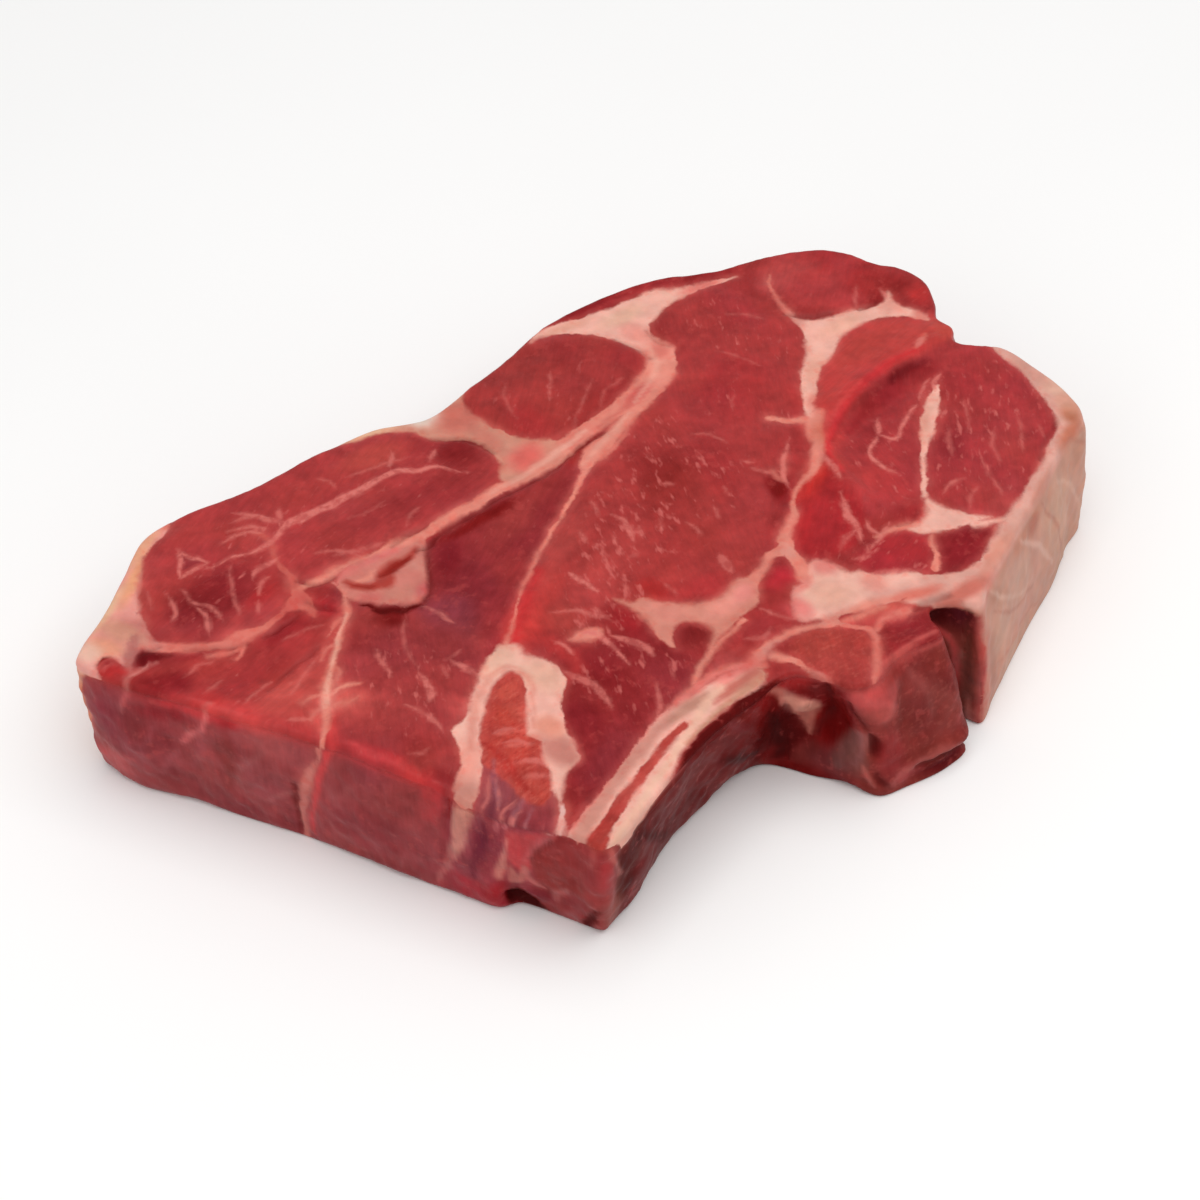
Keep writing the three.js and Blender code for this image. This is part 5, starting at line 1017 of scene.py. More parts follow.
WALL_STAINS = [
    (350, 46, 24, 3, 0, (198, 96, 78), 0.95), (392, 46, 26, 3.4, 0, (200, 100, 80), 0.95),
    (336, 44, 4, 4, -30, (206, 128, 112), 0.7), (344, 41, 6, 2, -40, (222, 156, 136), 0.6),
    (372, 39, 12, 4, 0, (200, 128, 102), 0.7), (378, 37, 4, 3, -30, (186, 102, 82), 0.7),
    (333, 18, 3, 24, 0, (206, 134, 120), 0.8), (338, 14, 3, 16, 0, (184, 124, 108), 0.6),
    (352, 26, 12, 10, -40, (218, 166, 146), 0.6), (346, 35, 8, 3, -40, (188, 128, 106), 0.6),
    (362, 32, 8, 5, -40, (212, 160, 142), 0.5), (372, 24, 14, 9, -40, (220, 168, 150), 0.5),
    (358, 5, 12, 4, 0, (196, 156, 136), 0.6), (392, 5, 20, 4, 0, (200, 158, 140), 0.5),
    (376, 26, 4, 12, 0, (196, 132, 116), 0.5), (396, 24, 12, 14, 0, (206, 158, 134), 0.6),
    (386, 8, 12, 6, 0, (206, 152, 136), 0.5), (412, 36, 8, 5, 0, (204, 140, 116), 0.5),
    (418, 46, 9, 3, 0, (192, 96, 72), 0.8), (430, 20, 12, 14, 0, (214, 162, 140), 0.5),
    (446, 44, 12, 4, 0, (222, 156, 140), 0.6), (455, 20, 9, 16, 0, (210, 150, 132), 0.5),
    (402, 6, 10, 4, 0, (198, 146, 120), 0.5), (344, 24, 5, 6, 30, (196, 148, 128), 0.4),
    (366, 12, 10, 5, 0, (208, 150, 136), 0.5), (815, 24, 8, 16, 0, (216, 134, 108), 0.6),
    (832, 34, 10, 8, 0, (230, 156, 124), 0.6), (846, 16, 9, 10, 0, (208, 132, 108), 0.6),
    (858, 36, 7, 8, 0, (236, 172, 140), 0.6), (862, 20, 4, 9, 0, (206, 110, 80), 0.7),
    (0, 30, 2.4, 8, 0, (200, 100, 66), 0.7), (824, 10, 9, 6, 0, (200, 112, 96), 0.5),
    (0, 40, 3, 6, 0, (226, 160, 132), 0.7), (180, 42, 14, 4, 0, (232, 164, 146), 0.7),
    (216, 43, 9, 3, 0, (176, 104, 88), 0.9), (200, 44, 8, 2, 0, (206, 146, 124), 0.6),
    (74, 12, 3, 12, 0, (196, 112, 108), 0.6),
]
# Soft streaks in the fat of the walls: membranes, and shallow cuts whose lit and shaded sides are
# painted highlight and painted shade.
WALL_FAT_STREAKS = [
    ((224, 176, 158), 0.7, 0.9, [(338, 44, 0.5), (345, 36, 1), (352, 30, 1.2), (361, 24, 0.8),
        (370, 20, 0.4)]),
    ((186, 120, 104), 0.6, 0.8, [(341, 34, 0.4), (350, 26, 0.9), (362, 19, 1), (374, 16, 0.5)]),
    ((226, 180, 164), 0.7, 1.0, [(366, 40, 0.5), (376, 31, 1.4), (384, 22, 1.6), (390, 12, 0.8)]),
    ((184, 116, 98), 0.6, 0.8, [(384, 40, 0.4), (391, 30, 0.9), (397, 18, 1), (400, 8, 0.4)]),
    ((222, 172, 152), 0.6, 1.0, [(398, 38, 0.5), (409, 28, 1.4), (417, 16, 1.2), (421, 6, 0.5)]),
    ((188, 118, 100), 0.55, 0.9, [(414, 42, 0.4), (424, 32, 1), (430, 20, 1), (433, 10, 0.4)]),
    ((228, 180, 162), 0.6, 1.0, [(430, 42, 0.6), (441, 32, 1.4), (449, 20, 1.2), (452, 8, 0.5)]),
    ((190, 124, 108), 0.5, 0.9, [(340, 14, 0.4), (352, 10, 0.9), (366, 9, 0.9), (380, 5, 0.4)]),
]

# ------------------------------------------------------- fibres and marbling

# Way the fibres run (degrees from +X) inside ellipses: x, y, half length, half width, turn, angle.
# The nearest ellipse decides.
TOP_GRAIN = [
    (-85, 75, 50, 12, 0, 28), (-70, 50, 55, 10, 0, 12), (25, 65, 26, 18, 0, 42),
    (-20, 22, 44, 12, 24, 30), (10, -2, 60, 18, 38, 70), (75, 45, 28, 40, -20, 58),
    (126, 52, 22, 20, 0, 35), (112, 15, 34, 9, 8, 12), (116, -30, 32, 26, 30, 52),
    (82, -24, 14, 16, 0, 75), (54, -32, 12, 12, 0, 40), (60, -62, 20, 8, 0, 20),
    (-120, 22, 30, 14, -15, 12), (-90, -8, 22, 22, -40, 62), (-36, -50, 30, 16, 30, 66),
    (75, 86, 34, 5, -10, -8), (-66, 27, 15, 10, 0, 8), (15, -76, 12, 10, 0, 60),
    (-60, -78, 36, 5, 17, 17), (-76, -44, 22, 12, 48, 50),
]
# How thickly the lean is marbled, in the same ellipses plus an amount.
TOP_MARBLE = [
    (-108, 54, 20, 14, 0, 0.35), (-84, 66, 14, 14, 0, 0.5), (-60, 58, 34, 18, 0, 0.28),
    (0, -2, 50, 18, 38, 0.75), (40, 10, 26, 18, 40, 0.5), (-36, -40, 20, 18, 30, 0.6),
    (116, -34, 34, 22, 30, 0.6), (82, -30, 14, 22, 0, 0.5), (90, 46, 18, 26, 0, 0.3),
    (20, 62, 26, 16, 0, 0.22), (-92, -14, 18, 22, -40, 0.45), (56, -52, 14, 18, 0, 0.5),
    (70, 18, 14, 12, 0, 0.4), (-118, 20, 22, 10, 0, 0.3),
]
LEAST_MARBLE = 0.12             # everywhere else on the cut face
WALL_SPONGE = 0.14              # how spongy sawn bone on the walls is
WALL_GRAIN_ANGLE = 96
RIB_WALL_GRAIN_ANGLE = 140

# What the cut face and the wall both have.
CUT_FACE = {
    "bands": TOP_FAT_BANDS,
    "patches": TOP_FAT_PATCHES,
    "holes": TOP_HOLES,
    "stains": FAT_STAINS,
    "fat_streaks": FAT_STREAKS,
    "veins": TOP_VEINS,
    "vein_softness": 0.62,
    "creases": TOP_CREASES,
}
WALL = {
    "bands": WALL_FAT_BANDS,
    "patches": WALL_FAT_PATCHES,
    "holes": WALL_HOLES,
    "stains": WALL_STAINS,
    "fat_streaks": WALL_FAT_STREAKS,
    "veins": WALL_VEINS,
    "vein_softness": 0.9,
    "creases": WALL_CREASES,
}

# ---------------------------------------------------------------- small tools


def linear(colour):
    """sRGB numbers from 0 to 255 as linear light."""
    share = np.clip(np.asarray(colour, dtype=float) / 255, 0, 1)
    return np.where(share <= 0.04045, share / 12.92, ((share + 0.055) / 1.055) ** 2.4)


def ramp(value, low, high):
    """Smooth step from 0 at low to 1 at high."""
    share = np.clip((value - low) / (high - low), 0, 1)
    return share * share * (3 - 2 * share)


def lumps(points, size, seed):
    """Smooth noise from about -1 to 1, with lumps of about the given size."""
    cells, shift, gain = 32, 0.37, 1.5
    table = np.random.default_rng(seed).uniform(-1, 1, (cells, cells, cells))
    if points.shape[1] == 2:
        points = np.column_stack([points, np.zeros(len(points))])
    place = points / size + shift
    base = np.floor(place).astype(int)
    share = place - base
    share = share * share * (3 - 2 * share)
    total = np.zeros(len(points))
    for corner in itertools.product((0, 1), repeat=3):
        weight = np.where(corner, share, 1 - share).prod(axis=1)
        total += weight * table[tuple(((base + corner) % cells).T)]
    return total * gain


def wobble(plan, size, amount, seed):
    """The plan, with each point moved a little."""
    return plan + amount * np.column_stack([lumps(plan, size, seed), lumps(plan, size, seed + 1)])


def turned(offset, degrees):
    """Coordinates along and across a direction."""
    angle = math.radians(degrees)
    along = offset @ (math.cos(angle), math.sin(angle))
    across = offset @ (-math.sin(angle), math.cos(angle))
    return along, across


def in_ellipse(plan, x, y, length, width, turn):
    """Coordinates along the axes of an ellipse, which are 1 at its edge."""
    along, across = turned(plan - (x, y), turn)
    return along / length, across / width


def within_loop(loop, plan):
    """Which points of a plan lie inside a closed loop."""
    x, y = plan.T
    inside = np.zeros(len(plan), dtype=bool)
    for (ax, ay), (bx, by) in zip(loop, np.roll(loop, -1, axis=0)):
        if ay != by:
            spans = np.flatnonzero((ay > y) != (by > y))
            inside[spans] ^= x[spans] < ax + (y[spans] - ay) * (bx - ax) / (by - ay)
    return inside


def spline_points(points, places):
    """Points of the centripetal Catmull-Rom spline through a ring, at places counted in stations."""
    whole = np.floor(places).astype(int)
    share = (places - whole)[:, None]
    before, start, end, after = (points[(whole + shift) % len(points)] for shift in (-1, 0, 1, 2))

    def knot(a, b):
        return np.maximum(((b - a)[:, :2] ** 2).sum(axis=1), 1e-9)[:, None] ** 0.25

    first, middle, last = knot(before, start), knot(start, end), knot(end, after)
    chord = (end - start) / middle
    leave = ((start - before) / first - (end - before) / (first + middle) + chord) * middle
    arrive = (chord - (after - start) / (middle + last) + (after - end) / last) * middle
    bend = 3 * (end - start) - 2 * leave - arrive
    twist = 2 * (start - end) + leave + arrive
    return start + leave * share + bend * share**2 + twist * share**3


def smooth_line(path, closed=False):
    """The spline through a path of (x, y, width), or of (x, y), which gets no width."""
    points = np.array([(*point, 0)[:3] for point in path], dtype=float)
    if closed:
        stops = np.arange(len(points) + 1)
        ring = points
    else:
        stops = np.arange(1, len(points) + 1)
        ring = np.vstack([2 * points[0] - points[1], points, 2 * points[-1] - points[-2]])
    places = []
    for stop, following in zip(stops, stops[1:]):
        length = np.hypot(*(ring[following % len(ring)] - ring[stop % len(ring)])[:2])
        places.extend(np.linspace(stop, following, max(2, round(length / LINE_STEP) + 1))[:-1])
    places.append(stops[-1])
    line = spline_points(ring, np.array(places))
    line[:, 2] = np.maximum(line[:, 2], 0)
    return line


class Chart:
    """Points of one plan, sorted by x, so that a feature only meets the points near it."""

    def __init__(self, plan):
        self.order = np.argsort(plan[:, 0], kind="stable")
        self.plan = plan[self.order]

    def unsorted(self, values):
        """Values in the order in which the points came."""
        result = np.empty_like(values)
        result[self.order] = values
        return result

    def in_order(self, values):
        """Values in the order of this chart."""
        return values[self.order]

    def near(self, low, high):
        """Which points lie in a box."""
        first, last = np.searchsorted(self.plan[:, 0], (low[0], high[0]))
        height = self.plan[first:last, 1]
        return first + np.flatnonzero((height >= low[1]) & (height <= high[1]))

    def band(self, line, reach=REACH):
        """How far inside a band each point lies, in mm; negative outside it, down to -reach."""
        inside = np.full(len(self.plan), -reach)
        for start, end in zip(line, line[1:]):
            grow = reach + max(start[2], end[2]) / 2
            near = self.near(np.minimum(start, end) - grow, np.maximum(start, end) + grow)
            offset = self.plan[near] - start[:2]
            step = end[:2] - start[:2]
            share = np.clip(offset @ step / max(step @ step, 1e-9), 0, 1)
            gap = np.hypot(*(offset - share[:, None] * step).T)
            half = (start[2] + (end[2] - start[2]) * share) / 2
            inside[near] = np.maximum(inside[near], half - gap)
        return inside

    def patch(self, outline):
        """The same for the inside of a closed outline."""
        loop = smooth_line(outline, closed=True)
        inside = self.band(loop)
        near = self.near(loop.min(axis=0), loop.max(axis=0))
        within = within_loop(loop[:, :2], self.plan[near])
        inside[near[within]] *= -1
        return inside

    def blob(self, x, y, length, width, turn):
        """The points in a soft ellipse, and how strongly each is in it."""
        grow = 1.6 * max(length, width)
        near = self.near((x - grow, y - grow), (x + grow, y + grow))
        distance = np.hypot(*in_ellipse(self.plan[near], x, y, length, width, turn))
        return near, ramp(distance, 1.5, 0.35)


# ---------------------------------------------------------------- colour fields


def blend(colour, share, tone):
    """Moves colours towards a tone, or towards a tone of their own, by a share of their own."""
    colour += share[:, None] * (np.asarray(tone) - colour)


def stain(colour, chart, stains):
    """Soft ellipses of another colour."""
    for *ellipse, tone, strength in stains:
        near, share = chart.blob(*ellipse)
        colour[near] += (strength * share)[:, None] * (np.array(tone) - colour[near])


def streak(colour, chart, streaks):
    """Soft lines of another colour."""
    for tone, strength, soft, path in streaks:
        blend(colour, strength * ramp(chart.band(smooth_line(path)), -soft, 0.6 * soft), tone)


def area(colour, chart, areas):
    """Whole areas of another colour."""
    for tone, border, outline in areas:
        blend(colour, ramp(chart.patch(outline), -border, border), tone)


def blush(lean, fat, plan, seed):
    """Lean that turns pink, here and there, where it meets fat."""
    blend(lean, ramp(fat, -BLUSH_RUN, 0.0) * (0.26 + 0.24 * lumps(plan, 6, seed)), PINK)


def mottle(colour, plan, amount, seed):
    """Makes a colour uneven: lighter and darker clouds, and some that lean towards purple or orange."""
    light = 1 + amount * (0.6 * lumps(plan, 7, seed) + 0.4 * lumps(plan, 2.6, seed + 1))
    warmth = amount * 40 * lumps(plan, 11, seed + 2)
    colour *= light[:, None]
    colour += warmth[:, None] * (0.3, 0.25, -0.35)


def fat_fields(chart, bands, patches, holes):
    """How far inside fat each point lies, the fat's colour, and what the holes in it are."""
    count = len(chart.plan)
    fat = np.full(count, -REACH)
    weight = np.full(count, 1e-7)
    colour = np.outer(weight, SALMON)
    layers = [(tone, chart.band(smooth_line(path))) for tone, path in bands]
    layers += [(tone, chart.patch(outline)) for tone, outline in patches]
    for tone, inside in layers:
        fat = np.maximum(fat, inside)
        share = np.exp(TONE_MIX * np.minimum(inside, TONE_RUN)) * (inside > -REACH)
        weight += share
        colour += np.outer(share, tone)
    colour /= weight[:, None]
    spongy = np.zeros(count)
    hole_share = np.zeros(count)
    hole_colour = plain_lean(count)
    for tone, amount, outline in holes:
        inside = chart.patch(outline)
        fat = np.where(inside > -HOLE_REACH, np.minimum(fat, -inside), fat)
        share = ramp(inside, -0.7, 0.5)
        spongy = np.maximum(spongy, amount * share)
        hole_share = np.maximum(hole_share, share)
        blend(hole_colour, share, tone)
    return {
        "fat": fat,
        "fat_rgb": colour,
        "spongy": spongy,
        "hole": hole_share,
        "hole_rgb": hole_colour,
    }


def plain_lean(count):
    return np.tile(np.array(LEAN, dtype=float), (count, 1))


def line_field(chart, lines, soft, taper=0.0):
    """The strongest of many thin lines at each point, from 0 to 1. Their ends may taper off."""
    field = np.zeros(len(chart.plan))
    for strength, path in lines:
        line = smooth_line(path)
        share = np.linspace(-1, 1, len(line))
        line[:, 2] *= 1 - taper * share**4
        line[:, 2] -= taper * 0.5 * share**4
        inside = chart.band(line, reach=LINE_REACH)
        field = np.maximum(field, strength * ramp(inside, -soft, soft * 0.7))
    return field


def line_and_fat_fields(chart, surface):
    """The fat, veins and creases of the cut face or the wall, in the points' first order."""
    fields = fat_fields(chart, surface["bands"], surface["patches"], surface["holes"])
    stain(fields["fat_rgb"], chart, surface["stains"])
    streak(fields["fat_rgb"], chart, surface["fat_streaks"])
    fields["vein"] = line_field(chart, surface["veins"], surface["vein_softness"], taper=0.8)
    fields["crease"] = line_field(chart, surface["creases"], soft=1.0)
    return {name: chart.unsorted(values) for name, values in fields.items()}


def fibre_coordinates(plan, degrees, layer):
    """Coordinates along and across fibres, and a layer that keeps bundles apart."""
    along, across = turned(plan, degrees)
    return np.column_stack([along, across, np.full(len(plan), layer)])


def grain_field(plan, ellipses):
    """Fibre coordinates of the nearest ellipse, and how clear the fibres are between two."""
    best = np.full(len(plan), np.inf)
    second = np.full(len(plan), np.inf)
    grain = np.zeros((len(plan), 3))
    for index, (*ellipse, fibre_angle) in enumerate(ellipses):
        along, across = in_ellipse(plan, *ellipse)
        distance = along**2 + across**2
        nearer = distance < best
        second = np.where(nearer, best, np.minimum(second, distance))
        best[nearer] = distance[nearer]
        grain[nearer] = fibre_coordinates(plan[nearer], fibre_angle, 13.0 * index)
    return grain, ramp(np.sqrt(second) - np.sqrt(best), 0.0, 0.2)


def cut_face_fields(plan):
    """Every field of the cut face at the points of a plan."""
    ragged = wobble(wobble(plan, size=5, amount=0.5, seed=1), size=1.9, amount=0.22, seed=3)
    chart = Chart(ragged)
    soft = Chart(wobble(plan, size=9, amount=2.0, seed=5))
    fields = line_and_fat_fields(chart, CUT_FACE)

    lean = plain_lean(len(plan))
    area(lean, soft, MUSCLES)
    stain(lean, soft, TOP_TONES)
    lean = soft.unsorted(lean)
    inside_hole = fields["hole"] * ramp(fields["spongy"], -0.5, 0.2) * 0.65
    blend(lean, inside_hole, fields["hole_rgb"])
    blush(lean, fields["fat"], plan, seed=9)
    lean = chart.in_order(lean)
    streak(lean, chart, TOP_STREAKS)
    lean = chart.unsorted(lean)
    mottle(lean, plan, amount=0.07, seed=7)
    mottle(fields["fat_rgb"], plan, amount=0.035, seed=11)
    fields["lean_rgb"] = lean
    fields["marble"] = soft.unsorted(marbling(soft))
    fields["grain"], fields["clear"] = grain_field(plan, TOP_GRAIN)
    return fields


def marbling(chart):
    """How thickly the lean of the cut face is marbled."""
    marble = np.full(len(chart.plan), LEAST_MARBLE)
    for *ellipse, amount in TOP_MARBLE:
        near, share = chart.blob(*ellipse)
        marble[near] = np.maximum(marble[near], amount * share)
    return marble


def wall_lean(plan, chart, fat):
    """Colour of the lean on the wall."""
    soft = Chart(wobble(plan, size=8, amount=1.2, seed=25))
    lean = plain_lean(len(plan))
    distance = soft.plan[:, 0]
    for start, end, tone in WALL_BASES:
        share = ramp(distance, start - 3, start + 3) * ramp(distance, end + 3, end - 3)
        blend(lean, share, tone)
    stain(lean, soft, WALL_TONES)
    area(lean, soft, WALL_AREAS)
    lean = soft.unsorted(lean)
    blush(lean, fat, plan, seed=35)
    lean = chart.in_order(lean)
    streak(lean, chart, WALL_STREAKS)
    lean = chart.unsorted(lean)
    mottle(lean, plan, amount=0.08, seed=27)
    return lean


def wall_fields(along, height, rim_fields):
    """Every field of the wall, for points at (along, height) under points of the rim."""
    plan = np.column_stack([along, height])
    ragged = wobble(wobble(plan, size=5, amount=0.6, seed=21), size=1.9, amount=0.25, seed=23)
    chart = Chart(ragged)
    fields = line_and_fat_fields(chart, WALL)
    fields["lean_rgb"] = wall_lean(plan, chart, fields["fat"])
    mottle(fields["fat_rgb"], plan, amount=0.05, seed=31)

    # Just under the rim the colours are still those of the cut face.
    top_share = ramp(height, THICKNESS - 4.5, THICKNESS - 1.5)
    for name in ("lean_rgb", "fat_rgb"):
        blend(fields[name], top_share, rim_fields[name])

    # On the sides away from the bones the seams of fat run down most of the wall.
    hidden = ramp(along, ALONG_RIGHT_END, ALONG_RIGHT_END + 10)
    hidden = hidden * ramp(along, ALONG_TIP_FAT + 6, ALONG_TIP_FAT - 6)
    fade = RIM_FADE + hidden * (SEAM_FADE - RIM_FADE)
    from_rim = rim_fields["fat"] - fade * (THICKNESS - height) - hidden * (0.6 + lumps(plan, 9, 33))
    blend(fields["fat_rgb"], hidden * ramp(from_rim, -1, 1), rim_fields["fat_rgb"])
    fields["fat"] = np.maximum(fields["fat"], from_rim)

    for name, run in (("vein", 8), ("crease", 5)):
        carried = rim_fields[name] * ramp(height, THICKNESS - run, THICKNESS)
        fields[name] = np.maximum(fields[name], carried)
    fields["spongy"] = np.maximum(fields["spongy"], spongy_walls(along))
    fields["marble"] = 0.3 * hidden
    under_rib = ramp(along, ALONG_RIB, ALONG_RIB + 10) * ramp(along, ALONG_POCKET + 6, ALONG_POCKET)
    upright = fibre_coordinates(plan, WALL_GRAIN_ANGLE, layer=5.0)
    leaning = fibre_coordinates(plan, RIB_WALL_GRAIN_ANGLE, layer=6.0)
    fields["grain"] = np.where((under_rib > 0.5)[:, None], leaning, upright)
    fields["clear"] = 0.8 - 0.5 * under_rib
    return fields


def spongy_walls(along):
    """The backbone's face is spongy bone, and so is the sawn end of the front bone."""
    backbone = ramp(along, ALONG_BACKBONE + 4, ALONG_BACKBONE + 14)
    backbone *= ramp(along, ALONG_SLOT - 4, ALONG_SLOT - 16)
    front_bone = ramp(along, ALONG_BONE + 3, ALONG_BONE + 7)
    front_bone *= ramp(along, ALONG_CORNER + 2, ALONG_CORNER - 4)
    return WALL_SPONGE * np.maximum(backbone, front_bone)


# ---------------------------------------------------------------- the slab's mesh


def swell_height(plan, swells):
    """Sum of broad dips and swells."""
    height = np.zeros(len(plan))
    for *ellipse, amount in swells:
        along, across = in_ellipse(plan, *ellipse)
        height += amount * np.exp(-1.5 * (along**2 + across**2))
    return height


def surface_relief(points, fields):
    """How far muscle, fat and creases stand out from the smooth surface."""
    depth_in_lean = np.clip(-fields["fat"], 0, REACH)
    dome = DOME_HEIGHT * (1 - np.exp(-depth_in_lean / DOME_RUN)) - 0.4 * DOME_HEIGHT
    fat = FAT_HEIGHT * ramp(fields["fat"], -0.3, 0.8)
    veins = VEIN_HEIGHT * fields["vein"]
    fibres = lumps(fields["grain"] / (5.0, 1.1, 1.0), 1.0, 41) * ramp(fields["fat"], 0.5, -0.5)
    sponge = lumps(points, 1.5, 43) * fields["spongy"]
    broad = 0.3 * lumps(points, 14, 45) + 0.22 * lumps(points, 6, 46)
    return (
        dome * (1 - 0.8 * fields["spongy"]) + fat + veins + broad
        - CREASE_DEPTH * fields["crease"] + LEAN_ROUGHNESS * fibres + BONE_ROUGHNESS * sponge
    )


def edge_drop(distance, radius):
    """How far a rounded edge falls away at some distance from the side."""
    over = np.clip(1 - distance / radius, 0, 1)
    return radius * (1 - np.sqrt(1 - over**2))


def cut_face_height(plan, fields, rim_gap):
    fold = Chart(plan)
    ridge = fold.unsorted(ramp(fold.band(smooth_line(FOLD_RIDGE)), -3.0, 1.5))
    height = THICKNESS + swell_height(plan, TOP_SWELLS) + FOLD_HEIGHT * ridge
    height += surface_relief(plan, fields)
    return height - edge_drop(rim_gap, RIM_ROUND)


def rim_columns():
    """Distances round the rim in even steps, the point of the rim at each and the foot below it."""
    count = len(STATIONS)
    places = FIRST_STATION - np.linspace(0, count, RIM_SAMPLES * count + 1)
    rim_ring = STATIONS[:, :2]
    foot_ring = STATIONS[:, :2] + STATIONS[:, 2:]
    rim = spline_points(rim_ring, places)
    travelled = np.concatenate([[0], np.cumsum(np.hypot(*np.diff(rim, axis=0).T))])
    columns = round(travelled[-1] / COLUMN_STEP)
    along = np.arange(columns) * travelled[-1] / columns
    even = np.interp(along, travelled, places)
    return along, spline_points(rim_ring, even), spline_points(foot_ring, even)


def outward(loop):
    """Unit normals of a counter-clockwise loop."""
    step = np.roll(loop, -1, axis=0) - np.roll(loop, 1, axis=0)
    normal = np.column_stack([step[:, 1], -step[:, 0]])
    return normal / np.hypot(*normal.T)[:, None]


def point_tree(points):
    """A tree that finds the nearest of some points."""
    tree = kdtree.KDTree(len(points))
    for index, point in enumerate(points.tolist()):
        tree.insert(point, index)
    tree.balance()
    return tree


def gaps_to(loop, plan):
    """Distance from each point to a closed loop."""
    step = np.roll(loop, -1, axis=0) - loop
    dense = np.vstack([loop + step * share for share in (0, 0.25, 0.5, 0.75)])
    tree = point_tree(np.column_stack([dense, np.zeros(len(dense))]))
    return np.array([tree.find((x, y, 0))[2] for x, y in plan.tolist()])


def lattice(loop, step, clear):
    """A lattice of points clear of a loop, which of them a coarser one has, and their gaps to it."""
    low, high = loop.min(axis=0), loop.max(axis=0)
    rise = step * math.sqrt(0.75)
    rows = np.arange(int((high[1] - low[1]) / rise) + 1)
    places = np.arange(int((high[0] - low[0]) / step) + 2)
    row, place = (grid.ravel() for grid in np.meshgrid(rows, places, indexing="ij"))
    x = low[0] + (place - row % 2 / 2) * step
    y = low[1] + row * step * math.sqrt(0.75)
    plan = np.column_stack([x, y])
    coarse = (row % 2 == 0) & ((place - row // 2) % 2 == 0)
    keep = within_loop(loop, plan)
    plan, coarse = plan[keep], coarse[keep]
    gap = gaps_to(loop, plan)
    keep = gap > clear
    return plan[keep], coarse[keep], gap[keep]


def rim_rings(rim):
    """Rings of points just inside the rim, which carry its rounded edge."""
    rings, gaps = [], []
    for offset in RIM_RINGS:
        ring = rim - outward(rim) * offset
        gap = gaps_to(rim, ring)
        keep = (gap > 0.85 * offset) & within_loop(rim, ring)
        rings.append(ring[keep])
        gaps.append(gap[keep])
    return np.vstack(rings), np.concatenate(gaps)


def triangles(loop, inner):
    """Triangles over a loop and the points inside it, which are numbered after the loop's."""
    plan = np.vstack([loop, inner])
    edges = [(index, (index + 1) % len(loop)) for index in range(len(loop))]
    found = delaunay_2d_cdt([Vector(point) for point in plan.tolist()], edges, [], 1, 1e-6)
    if len(found[0]) != len(plan):
        raise RuntimeError("the outline crosses itself")
    origin = np.array([sources[0] for sources in found[3]])
    corners = origin[np.array(found[2])]
    a, b, c = (plan[corners[:, i]] for i in range(3))
    clockwise = (b - a)[:, 0] * (c - a)[:, 1] - (b - a)[:, 1] * (c - a)[:, 0] < 0
    corners[clockwise] = corners[clockwise][:, ::-1]
    return corners


def choose(fields, index):
    return {name: values[index] for name, values in fields.items()}


def join(*groups):
    return {name: np.concatenate([group[name] for group in groups]) for name in groups[0]}


def make_top(rim):
    """Points and triangles of the cut face, fine near fat, veins and creases, coarse elsewhere."""
    plan, coarse, gap = lattice(rim, FINE_STEP, LATTICE_CLEAR)
    fields = cut_face_fields(plan)
    busy = (np.abs(fields["fat"]) < 1.0) | (fields["vein"] > 0.03) | (fields["crease"] > 0.05)
    keep = coarse | busy | (gap < FINE_BORDER) | (fields["spongy"] > 0.3)
    ring, ring_gap = rim_rings(rim)
    edge = np.vstack([rim, ring])
    fields = join(cut_face_fields(edge), choose(fields, keep))
    plan = np.vstack([edge, plan[keep]])
    gap = np.concatenate([np.zeros(len(rim)), ring_gap, gap[keep]])
    height = cut_face_height(plan, fields, gap)
    return np.column_stack([plan, height]), triangles(rim, plan[len(rim):]), fields


def make_wall(along, rim, foot, rim_height):
    """Rows of points from just under the rim down to the table, how many rows, and their fields."""
    upper_rows = np.linspace(1, 0.035, round(THICKNESS / ROW_STEP))[1:]
    levels = np.concatenate([upper_rows, LAST_ROWS])
    rows = len(levels)
    around = np.tile(along, rows)
    height = np.repeat(levels, len(along)) * np.tile(rim_height, rows)
    inner = rim - RIM_INSET * outward(rim)
    rim_fields = {name: np.tile(values, (rows,) + (1,) * (values.ndim - 1))
                  for name, values in cut_face_fields(inner).items()}
    fields = wall_fields(around, height, rim_fields)

    mix = (height / THICKNESS)[:, None]
    smooth = np.tile(foot, (rows, 1)) * (1 - mix) + np.tile(rim, (rows, 1)) * mix
    normal = np.tile(outward(rim), (rows, 1)) * mix + np.tile(outward(foot), (rows, 1)) * (1 - mix)
    normal /= np.hypot(*normal.T)[:, None]
    proud = WALL_BULGE * np.sin(np.pi * height / THICKNESS)
    proud += swell_height(np.column_stack([around, height]), wall_swells())
    points = np.column_stack([smooth, height])
    relief = surface_relief(points, fields) + WALL_ROUGHNESS * lumps(points, 3.2, 51)
    proud += relief * WALL_RELIEF
    proud *= ramp(THICKNESS - RIM_ROUND - height, 0, 3.5) * ramp(height, 0.2, 3)
    proud -= edge_drop(height, foot_radius(around))
    return np.column_stack([smooth + normal * proud[:, None], height]), rows, fields


def wall_swells():
    """The wall's swells in the form of the cut face's, with no turn."""
    return [(along, height, length, tall, 0, out) for along, height, length, tall, out in WALL_SWELLS]


def foot_radius(along):
    """How rounded the lower edge is at each distance round the rim."""
    radius = np.full(len(along), FOOT_ROUND)
    for middle, half, size in FOOT_ROUNDINGS:
        share = np.exp(-1.5 * ((along - middle) / half) ** 2)
        radius = np.maximum(radius, FOOT_ROUND + (size - FOOT_ROUND) * share)
    return radius


